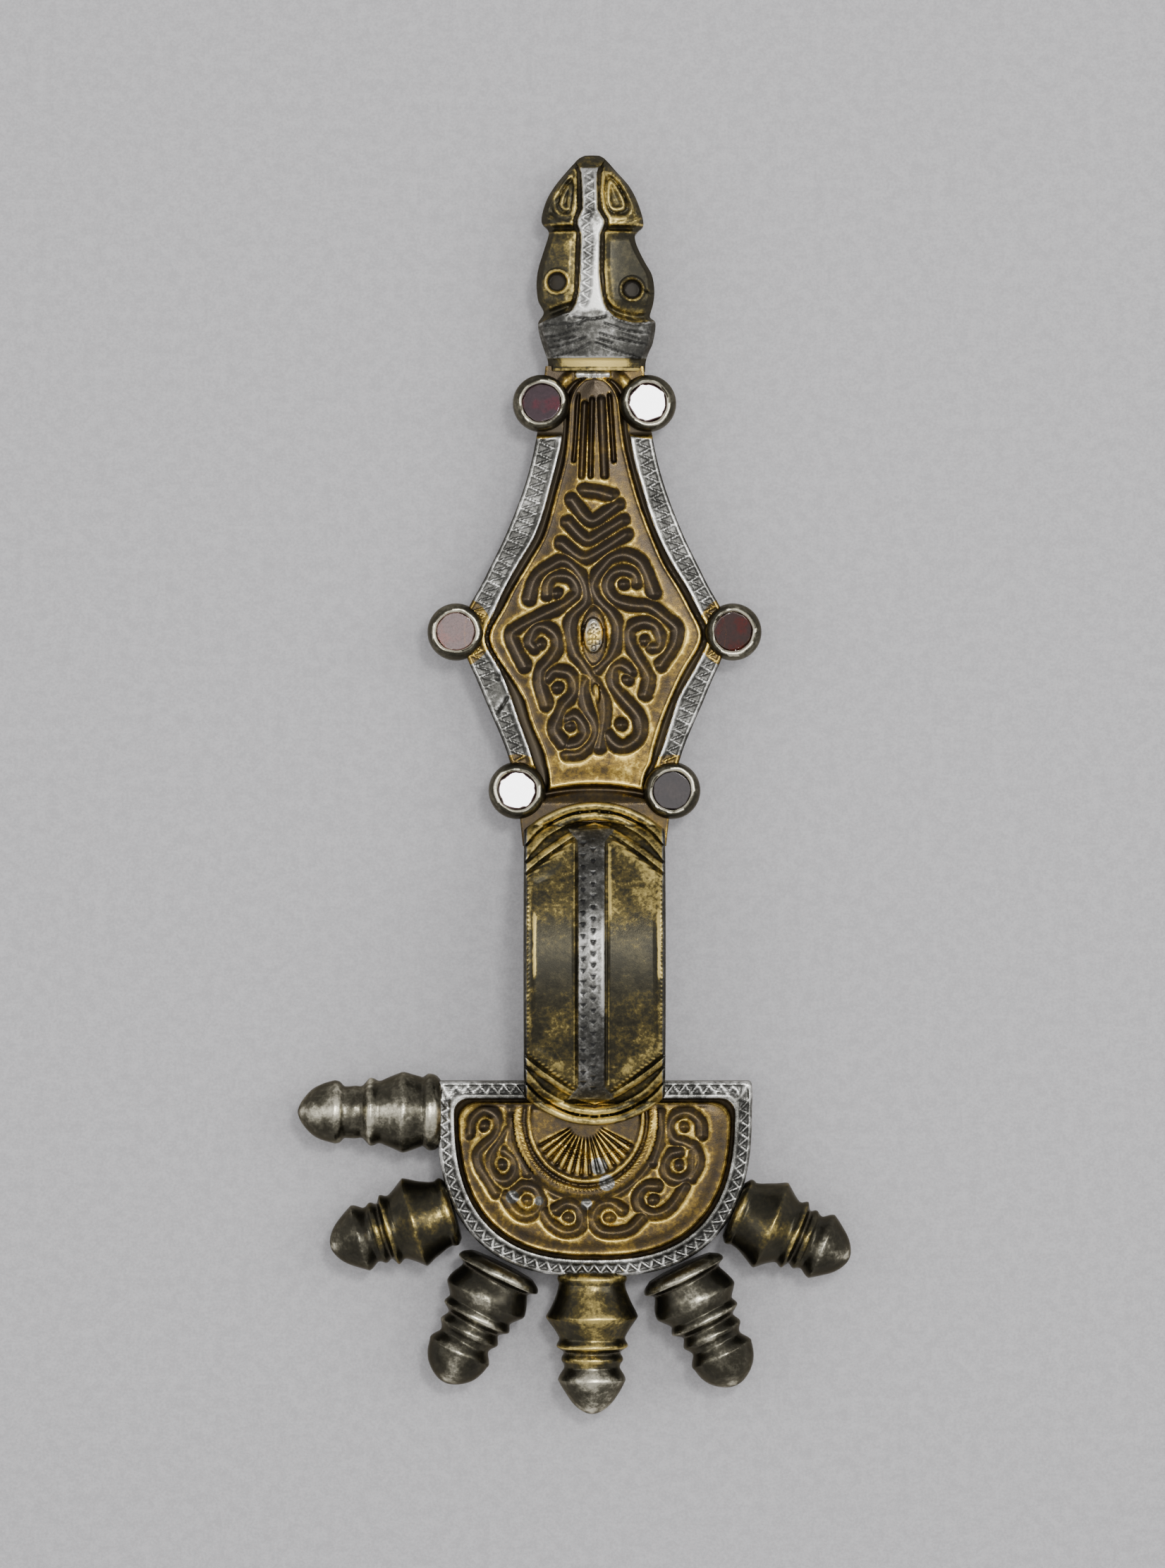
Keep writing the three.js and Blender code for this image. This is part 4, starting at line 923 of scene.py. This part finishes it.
def collet(name, at, seed):
    bm = spun(COLLET_PROFILE)
    crest, tone = (bm.verts.layers.float.new(mask) for mask in ("crest", "tone"))
    for vert in bm.verts:
        angle_at = math.atan2(vert.co.y, vert.co.x)
        radius = math.hypot(vert.co.x, vert.co.y)
        lip = max(0.0, (vert.co.z - LIP_STARTS) / LIP_HEIGHT)
        if 1 < radius < 3.3:
            grown = 1 + 0.04 * lip * ripple(angle_at, seed) + 0.008 * ripple(angle_at, seed + 7)
            vert.co.x *= grown
            vert.co.y *= grown
        vert.co.z -= 0.06 * lip * (1 + ripple(angle_at, seed + 3))
        bright_to = 2.72 + 0.2 * ripple(angle_at, seed + 5, waves=(1, 2, 4, 7))
        vert[crest] = 1.0 * (vert.co.z > 3.8 and radius < bright_to)
        vert[tone] = vert[crest] * (0.16 + 0.2 * ripple(angle_at, seed + 9, waves=(1, 3, 6, 11)))
    bmesh.ops.translate(bm, vec=(*at, 0), verts=bm.verts)
    return finished("collet_" + name, bm)


collets = {name: collet(name, at, seed) for seed, (name, at) in enumerate(COLLETS.items())}

# %% [markdown]
# The stones are thin flat plates of garnet with chipped edges. Most lie level and look dark; two
# are tilted a little, and throw the light of the lamp straight back.

# %% Garnets
LAMP_AT = Vector((170.0, 210.0, 950.0))
CAMERA_UP = 811.0
STONE_PROFILE = [(0, 2.95), (2.25, 2.95), (2.4, 3.3), (2.4, 3.8), (2.36, 3.9), (2.3, 3.94), (2.25, 3.95),
                 (2.2, 3.95), (1.2, 3.95), (0, 3.95)]
THROWING_BACK = ("top_right", "bottom_left")
LEANS = {"top_left": (-0.16, 0.17), "middle_left": (0.02, -0.01), "middle_right": (0.17, -0.2),
         "bottom_right": (0, 0.01)}


def lean_of(name, at):
    """How far the face of a stone falls per millimetre along x and along y."""
    if name not in THROWING_BACK:
        return Vector((*LEANS[name], 0))
    stone_at = Vector((*at, 4.0)) + ORIGIN / MM
    to_lamp, to_eye = LAMP_AT - stone_at, Vector((0, 0, CAMERA_UP)) - stone_at
    return (to_lamp / to_lamp.z + to_eye / to_eye.z) / 2


def garnet(name, at, seed):
    bm = spun(STONE_PROFILE, steps=48)
    lean = lean_of(name, at)
    ragged = 0.05 if name in THROWING_BACK else 0.025
    for vert in bm.verts:
        angle_at = math.atan2(vert.co.y, vert.co.x)
        on_top = vert.co.z > 3.7
        if on_top and math.hypot(vert.co.x, vert.co.y) > 1.9:
            chipped = 1 + ragged * (ripple(angle_at, seed + 11, waves=(5, 9, 14, 19)) - 0.6)
            vert.co.x *= chipped
            vert.co.y *= chipped
        if on_top:
            vert.co.z -= lean.x * vert.co.x + lean.y * vert.co.y
    bmesh.ops.translate(bm, vec=(*at, 0), verts=bm.verts)
    return finished("stone_" + name, bm)


garnets = {name: garnet(name, at, seed) for seed, (name, at) in enumerate(COLLETS.items())}

# %% [markdown]
# ## The knobs
# Six cast knobs with rings, bulbs and rounded caps are fixed round the head plate; a seventh is
# lost. Each is a profile spun round its own axis, then laid down and turned outwards. A profile's
# points are the distance out from the plate's edge and the radius.

# %% The knobs' profiles and places
KNOB_AXIS = 1.0
BULB_KNOB = [(-0.5, 3.6), (0, 4.25), (0.5, 4.3), (0.9, 4.15), (1.3, 4.2), (1.9, 4.35), (3.4, 4.95),
             (4.6, 5.55), (5.0, 5.7), (5.3, 5.6), (6.4, 4.8), (7.4, 4.2), (7.8, 4.1), (8.1, 4.2),
             (8.5, 4.42), (8.8, 4.42), (9.1, 4.0), (9.4, 3.6), (9.7, 3.6), (10.1, 3.84), (10.5, 3.86),
             (10.9, 3.6), (11.3, 3.5), (11.6, 3.6), (12.3, 4.05), (12.8, 4.22), (13.1, 4.15), (14.4, 3.4),
             (15.6, 2.6), (16.5, 1.7), (17.05, 0.75), (17.2, 0)]
RINGED_KNOB = [(-0.5, 4.3), (0, 5.1), (0.4, 5.4), (0.8, 5.4), (1.1, 4.8), (1.4, 4.5), (1.8, 4.55),
               (3.0, 5.1), (4.0, 5.32), (4.5, 5.1), (5.4, 4.35), (5.8, 4.2), (6.2, 4.4), (6.7, 4.52),
               (7.1, 4.0), (7.5, 3.5), (7.9, 3.55), (8.5, 3.88), (8.9, 3.9), (9.4, 3.5), (9.8, 3.3),
               (10.2, 3.35), (10.9, 3.85), (11.4, 4.05), (11.8, 3.95), (13.0, 3.65), (14.1, 3.05),
               (15.0, 2.1), (15.6, 1.0), (15.8, 0)]
SIDE_KNOB = [(-0.5, 3.9), (0, 4.5), (0.5, 4.75), (1.1, 4.8), (1.5, 4.55), (1.8, 4.35), (2.2, 4.45),
             (3.6, 4.9), (4.3, 5.03), (4.8, 4.85), (6.4, 4.15), (7.0, 3.9), (7.4, 3.9), (7.9, 4.15),
             (8.4, 4.2), (8.9, 3.7), (9.4, 3.25), (10.2, 3.3), (11.2, 3.25), (11.6, 3.3), (12.1, 3.8),
             (12.6, 3.95), (13.0, 3.9), (14.4, 3.45), (15.6, 2.8), (16.7, 1.6), (17.2, 0.7), (17.4, 0)]
Knob = namedtuple("Knob", "at turned profile reach gilding rubbed")
KNOBS = {
    "side": Knob((-19.55, -18.5), 180, SIDE_KNOB, 1.0, 0.0, 0.2),
    "lower_left": Knob((-18.0, -30.9), 196.4, BULB_KNOB, 0.9, 0.6, -0.04),
    "left": Knob((-11.7, -38.0), 243.6, RINGED_KNOB, 1.0, 0.0, 0.03),
    "middle": Knob((-0.3, -38.9), 270, BULB_KNOB, 1.0, 0.7, 0.14),
    "right": Knob((10.8, -38.3), 296, RINGED_KNOB, 1.0, 0.0, 0.06),
    "lower_right": Knob((17.8, -30.8), 337, BULB_KNOB, 0.88, 0.7, -0.08),
}


# %% Turning a knob
CAP_STARTS, CAP_BLENDS = 0.62, 0.1  # shares of the length


def knob(name, facts):
    """Spins a profile, notes where it is worn and where a highlight is painted on it, and lays it down with
    its cap outwards.
    """
    line = curve(facts.profile, per_span=3)
    start, length = line[0, 0], line[-1, 0]
    heights = np.linspace(start, length, 400)
    radius_at = np.interp(heights, line[:, 0], line[:, 1])
    soft = np.convolve(np.pad(radius_at, 20, mode="edge"), np.ones(41) / 41, mode="valid")
    bm = spun([(0.0, start)] + [(max(radius, 0.0), along) for along, radius in line])
    masks = ("crest", "deep", "gilt", "tone")
    crest, deep, gilt, tone = (bm.verts.layers.float.new(mask) for mask in masks)
    for vert in bm.verts:
        along = vert.co.z
        angle_at = math.atan2(vert.co.y, vert.co.x)
        out = np.interp(along, heights, radius_at - soft)
        vert[crest] = float(np.clip(out / 0.35, 0, 1))
        vert[deep] = float(np.clip(-out / 0.6, 0, 1))
        # upward is 1 on the side that faces up once the knob is laid down; the tone below paints a narrow
        # highlight there
        upward = max(0.0, -math.cos(angle_at + 0.12 * ripple(along * 0.9, facts.turned)))
        in_cap = min(1.0, max(0.0, (along - length * CAP_STARTS) / (length * CAP_BLENDS)))
        vert[tone] = (0.3 * upward ** 12 - 0.26 + facts.rubbed + 0.03 * in_cap
                      + 0.07 * math.cos(angle_at * 3 + along * 0.8 + facts.turned))
        vert[gilt] = facts.gilding * (1 - in_cap)
        wobble = 1 + 0.012 * ripple(angle_at + along * 0.35, facts.turned)
        vert.co.x *= wobble
        vert.co.y *= wobble
        vert.co.z *= facts.reach if along > 0 else 1
    for angle, axis in ((math.pi / 2, "Y"), (math.radians(facts.turned), "Z")):
        bmesh.ops.rotate(bm, cent=(0, 0, 0), matrix=Matrix.Rotation(angle, 3, axis), verts=bm.verts)
    bmesh.ops.translate(bm, vec=(*facts.at, KNOB_AXIS), verts=bm.verts)
    for vert in bm.verts:
        vert.co.z = max(vert.co.z, REST + 0.01)
    return finished("turned_" + name, bm)


knobs = {name: knob(name, facts) for name, facts in KNOBS.items()}

# %% [markdown]
# ## The back
# The lugs that carry the axle and the catch for the pin's point are cut from the frame's own body,
# because their shape is already right.

# %% Lugs and catch
CUT_BELOW = 0.05  # the cut lies this far below the plates' backs
TUCKED_IN = 0.35  # and its rim is then pushed up into the plates, so that no seam shows
bm = bmesh.new()
bm.from_mesh(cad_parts["body"].data)
bmesh.ops.remove_doubles(bm, verts=bm.verts, dist=1e-7)
cut_level = ORIGIN.z - CUT_BELOW * MM
bmesh.ops.bisect_plane(bm, geom=bm.verts[:] + bm.edges[:] + bm.faces[:], dist=1e-8,
                       plane_co=(0, 0, cut_level), plane_no=(0, 0, 1), clear_outer=True)
bmesh.ops.dissolve_limit(bm, angle_limit=math.radians(2), verts=bm.verts, edges=bm.edges)
cut_rims = [edge for edge in bm.edges if edge.is_boundary]
bmesh.ops.holes_fill(bm, edges=cut_rims, sides=0)
for vert in bm.verts:
    if abs(vert.co.z - cut_level) < 1e-6:
        vert.co.z += TUCKED_IN * MM
bmesh.ops.translate(bm, vec=-ORIGIN, verts=bm.verts)
bmesh.ops.scale(bm, vec=(1 / MM, 1 / MM, 1 / MM), verts=bm.verts)
print("back fittings:", len(bm.faces), "faces")
fittings = finished("back_fittings", bm)

# %% [markdown]
# ## Shader maths
# A finish is a small graph of nodes. One class wraps an output so that its maths can be written as
# Python, and one class holds a material and adds any node by its type, settings and sockets.

# %% Wrapping the nodes
class Amount:
    """A number that varies over the surface."""

    def __init__(self, finish, socket):
        self.finish, self.socket = finish, socket

    def _maths(self, operation, first, second):
        return self.finish.add("ShaderNodeMath", {"operation": operation}, {0: first, 1: second})

    def __add__(self, other):
        return self._maths("ADD", self, other)

    def __sub__(self, other):
        return self._maths("SUBTRACT", self, other)

    def __rsub__(self, other):
        return self._maths("SUBTRACT", other, self)

    def __mul__(self, other):
        return self._maths("MULTIPLY", self, other)

    def clamped(self):
        return self.finish.add("ShaderNodeClamp", {}, {"Value": self})

    __radd__ = __add__
    __rmul__ = __mul__


class Finish:
    """A material whose Principled shader is fed by expressions."""

    def __init__(self, name):
        self.material = bpy.data.materials.new(name)
        self.material.use_nodes = True
        self.tree = self.material.node_tree
        self.shader = self.tree.nodes["Principled BSDF"]
        self.place = self.add("ShaderNodeTexCoord", {}, {}, "Object")

    def add(self, kind, settings, sockets, output=0):
        """Adds a node, sets it up, feeds its sockets and hands back one of its outputs."""
        node = self.tree.nodes.new(kind)
        for name, value in settings.items():
            if name == "stops":
                while len(node.color_ramp.elements) < len(value):
                    node.color_ramp.elements.new(0.5)
                for element, (position, colour) in zip(node.color_ramp.elements, value):
                    element.position = position
                    element.color = (*colour, 1)
            else:
                setattr(node, name, value)
        for name, value in sockets.items():
            self.feed(node.inputs[name], value)
        return Amount(self, node.outputs[output])

    def feed(self, socket, value):
        if isinstance(value, Amount):
            self.tree.links.new(value.socket, socket)
        elif isinstance(value, tuple) and len(value) == 3 and socket.type == "RGBA":
            socket.default_value = (*value, 1)
        else:
            socket.default_value = value

    def mask(self, name):
        return self.add("ShaderNodeAttribute", {"attribute_name": name}, {}, "Fac")

    def noise(self, size, detail=4.0, rough=0.55):
        """Clouds of about the given size in millimetres."""
        sockets = {"Vector": self.place, "Scale": 1 / (size * MM), "Detail": detail, "Roughness": rough}
        return self.add("ShaderNodeTexNoise", {}, sockets, "Fac")

    def between(self, value, low, high):
        """0 below low and 1 above high."""
        return self.add("ShaderNodeMapRange", {"interpolation_type": "SMOOTHSTEP"},
                        {"Value": value, "From Min": low, "From Max": high})

    def mix(self, share, first, second):
        return self.add("ShaderNodeMix", {"data_type": "RGBA"}, {0: share, 6: first, 7: second}, 2)

    def ramp(self, value, stops):
        return self.add("ShaderNodeValToRGB", {"stops": stops}, {"Fac": value}, "Color")

    def set(self, **sockets):
        """Feeds sockets of the Principled shader; an underscore stands for a space."""
        for name, value in sockets.items():
            self.feed(self.shader.inputs[name.replace("_", " ")], value)

    def bump(self, height, strength, depth):
        """Fine unevenness of a finish, up to depth millimetres."""
        sockets = {"Height": height, "Strength": strength, "Distance": depth * MM}
        self.feed(self.shader.inputs["Normal"], self.add("ShaderNodeBump", {}, sockets))


# %% [markdown]
# ## Old silver, partly gilded
# Silver greys and blackens; mercury gilding stays bright on the crests, thins to olive on the
# slopes, and keeps a purplish brown dirt in the hollows. The crests are lightened also as a painted
# highlight, and the tone mask carries painted light and shade besides rubbing and tarnish. The
# masks made with the shapes say where.

# %% The metals
SILVER = [(0.20, (0.050, 0.049, 0.044)), (0.46, (0.100, 0.098, 0.088)), (0.64, (0.24, 0.236, 0.215)),
          (0.92, (0.88, 0.87, 0.82))]
DARK_SILVER = [(0.22, (0.047, 0.044, 0.034)), (0.48, (0.079, 0.073, 0.053)), (0.66, (0.19, 0.177, 0.130)),
               (0.94, (0.90, 0.85, 0.66))]
GOLD = [(0.18, (0.058, 0.045, 0.031)), (0.42, (0.100, 0.070, 0.031)), (0.62, (0.26, 0.168, 0.038)),
        (0.92, (0.98, 0.71, 0.19))]
OLIVE = [(0.20, (0.046, 0.043, 0.032)), (0.46, (0.078, 0.070, 0.045)), (0.64, (0.19, 0.150, 0.058)),
         (0.92, (0.98, 0.76, 0.25))]
DIRT = (0.080, 0.064, 0.042)
NIELLO = (0.045, 0.045, 0.046)
EDGE_ON = (0.55, 0.52, 0.46, 1)  # tarnished metal seen edge-on stays dark


def old_metal(name, gold=GOLD, silver=SILVER, gilding=1.0, darkness=0.0, patches=3.0, mottle=0.7,
              polish=0.30):
    """wear_and_painted_light runs from 0, dark with tarnish and painted shade, to 1, bright where rubbed and
    where a highlight is painted; the ramps give its colours.
    """
    finish = Finish(name)
    crest, deep, tone = finish.mask("crest"), finish.mask("deep"), finish.mask("tone")
    gilt, niello = finish.mask("gilt"), finish.mask("niello")
    broad, fine = finish.noise(patches, 4.0, 0.6), finish.noise(0.6, 6.0, 0.7)
    tiny = finish.noise(0.16, 3.0, 0.6)
    # crest * 0.40 lightens the crests: rubbed bright, and a painted highlight along them; tone brings the
    # painted light and shade of the masks
    wear_and_painted_light = (crest * 0.40 + tone + (broad + fine) * mottle + (0.48 - mottle - darkness)).clamped()
    is_gold = finish.between(gilt * gilding + broad * 0.7 - 0.35, 0.35, 0.55)
    metal = finish.mix(is_gold, finish.ramp(wear_and_painted_light, silver), finish.ramp(wear_and_painted_light, gold))
    dirt = finish.between(deep - crest * 0.6 + fine * 0.7 - 0.35, 0.25, 0.95)
    coloured = finish.mix((dirt * 0.8).clamped(), metal, DIRT)
    coloured = finish.mix(niello.clamped(), coloured, NIELLO)
    roughness = polish - 0.10 + dirt * 0.10 + tiny * 0.12 + broad * 0.08 - crest * 0.05
    finish.set(Base_Color=coloured, Metallic=(0.88 - dirt * 0.5).clamped(), Roughness=roughness.clamped())
    finish.bump(fine * 0.6 + tiny * 0.6, 0.5, 0.05)
    finish.shader.inputs["Specular Tint"].default_value = EDGE_ON
    return finish.material


silver_gilt = old_metal("silver_gilt", mottle=0.9)
olive_gilt = old_metal("olive_gilt", gold=OLIVE, mottle=1.0, polish=0.36)
collet_silver = old_metal("collet_silver", gold=OLIVE, silver=DARK_SILVER, gilding=0.3)
knob_gilt, knob_silver = (
    old_metal(name, OLIVE, DARK_SILVER, darkness=darkness, patches=4.5, mottle=mottle, polish=0.24)
    for name, darkness, mottle in (("knob_gilt", -0.06, 0.85), ("knob_silver", -0.01, 0.75)))

# %% [markdown]
# Garnet is a clear dark red stone. Seen from above it shows little of its colour, because the dark
# bed under it sends hardly any light back. Where the foil under a stone is still bright, it glints.

# %% Garnet
def garnet_finish(name, colour, glint, shine=1.77):
    finish = Finish(name)
    specks, cloud = finish.noise(0.35, 4.0, 0.7), finish.noise(2.2, 2.0, 0.5)
    # the clouds of the glint colour are a painted glint: a lighter red painted into the stone's colour
    cloudy = finish.mix(finish.between(cloud, 0.48, 0.68), colour, glint)
    dull = tuple(part * 0.5 for part in colour)
    finish.set(Base_Color=finish.mix(finish.between(specks, 0.35, 0.8), cloudy, dull),
               Roughness=(0.04 + specks * 0.08), Metallic=0.0, IOR=shine, Transmission_Weight=0.55)
    finish.bump(specks, 0.15, 0.02)
    return finish.material


PALE = ((0.25, 0.12, 0.13), (0.3, 0.2, 0.2), 2.0)
GARNET_LOOKS = {
    "top_left": ((0.15, 0.085, 0.105), (0.30, 0.05, 0.08)),
    "top_right": PALE,
    "middle_left": ((0.46, 0.27, 0.25), (0.62, 0.24, 0.20)),
    "middle_right": ((0.12, 0.05, 0.04), (0.22, 0.02, 0.01)),
    "bottom_left": PALE,
    "bottom_right": ((0.09, 0.07, 0.072), (0.12, 0.09, 0.085), 1.5),
}
stones = {name: garnet_finish("garnet_" + name, *look) for name, look in GARNET_LOOKS.items()}

# %% [markdown]
# The pin and its axle were iron, now brown with rust.

# %% Iron
RUST = [(0.3, (0.035, 0.022, 0.015)), (0.55, (0.11, 0.055, 0.028)), (0.75, (0.20, 0.105, 0.05))]
rusted = Finish("rusted_iron")
flakes, grain = rusted.noise(1.2, 6.0, 0.7), rusted.noise(0.25, 4.0)
rusted.set(Base_Color=rusted.ramp(flakes, RUST), Metallic=0.35, Roughness=(0.62 + grain * 0.3).clamped())
rusted.bump(flakes + grain * 0.5, 0.6, 0.12)

# %% [markdown]
# ## Handing the pieces over
# Every piece says which body it rides on, which solid it stands for and which finish it has.

# %% Rides, replacements and finishes
def hand_over(piece, material, slot, *nodes):
    piece.data.materials.clear()
    piece.data.materials.append(material)
    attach(piece, "brooch")
    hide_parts(*nodes)


for piece in (foot_plate, head_plate):
    hand_over(piece, silver_gilt, "silver_gilt", "body")
for piece in (bow, animal_head):
    hand_over(piece, olive_gilt, "silver_gilt", "body")
hand_over(fittings, collet_silver, "silver_gilt", "body")
for name in COLLETS:
    hand_over(collets[name], collet_silver, "silver_gilt", "body")
    hand_over(garnets[name], stones[name], "garnet", "garnet_" + name)
for name, facts in KNOBS.items():
    metal, slot = (knob_gilt, "gilt_knob") if facts.gilding > 0 else (knob_silver, "silver_knob")
    hand_over(knobs[name], metal, slot, "knob_" + name)
for name in ("pin", "spring_axle"):
    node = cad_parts[name]
    node.data.materials.clear()
    node.data.materials.append(rusted.material)

# %% [markdown]
# ## Floor, light and camera
# A plain pale floor. A broad soft box hangs over the camera, so flat silver looks mid grey, and one
# small bright lamp makes the glints. The camera looks straight down.

# %% The camera
FRAME_HEIGHT, LENS, SENSOR = 194.6, 150.0, 36.0
LOOK_AT = Vector((-1.49, 22.3, PLATE))

scene = bpy.context.scene
camera_data = bpy.data.cameras.new("camera")
camera_data.lens = LENS
camera_data.sensor_width = SENSOR
camera = bpy.data.objects.new("camera", camera_data)
distance_up = FRAME_HEIGHT * MM * LENS / SENSOR
camera.location = ORIGIN + LOOK_AT * MM + Vector((0, 0, distance_up))
scene.collection.objects.link(camera)
scene.camera = camera
print("camera above the plates:", round(distance_up / MM), "mm")

# %% The floor
PAPER = [(0.42, (0.65, 0.64, 0.655)), (0.58, (0.79, 0.78, 0.795))]
bm = bmesh.new()
bmesh.ops.create_grid(bm, x_segments=1, y_segments=1, size=1.5)
bmesh.ops.translate(bm, vec=(0, 0, cad_low.z), verts=bm.verts)
floor_mesh = bpy.data.meshes.new("floor")
bm.to_mesh(floor_mesh)
bm.free()
floor = bpy.data.objects.new("floor", floor_mesh)
scene.collection.objects.link(floor)
paper = Finish("paper")
fibres, grain = paper.noise(1.5, 6.0, 0.7), paper.noise(0.35, 3.0, 0.7)
paper.set(Base_Color=paper.ramp((fibres + grain) * 0.5, PAPER), Roughness=0.9, Specular_IOR_Level=0.1)
floor_mesh.materials.append(paper.material)

# %% Lights
def softbox(name, at, size, power):
    """An area light that looks at the middle of the floor."""
    data = bpy.data.lights.new(name, "AREA")
    data.shape = "RECTANGLE"
    data.size, data.size_y = size
    data.energy = power
    lamp = bpy.data.objects.new(name, data)
    lamp.location = Vector(at)
    lamp.rotation_euler = (-lamp.location).to_track_quat("-Z", "Y").to_euler()
    scene.collection.objects.link(lamp)


softbox("overhead", (0, 0.05, 1.1), (0.6, 0.6), 1.9)
softbox("right", (0.75, 0.15, 0.8), (0.4, 0.8), 2.3)
softbox("left", (-0.9, 0.1, 0.7), (0.5, 0.9), 1.2)
softbox("lamp", LAMP_AT * MM, (0.12, 0.12), 2.0)

world = bpy.data.worlds.new("studio")
world.use_nodes = True
background = world.node_tree.nodes["Background"].inputs
background["Color"].default_value = (0.60, 0.595, 0.605, 1)
background["Strength"].default_value = 0.78
scene.world = world

# %% [markdown]

# %% The end
bpy.context.view_layer.update()
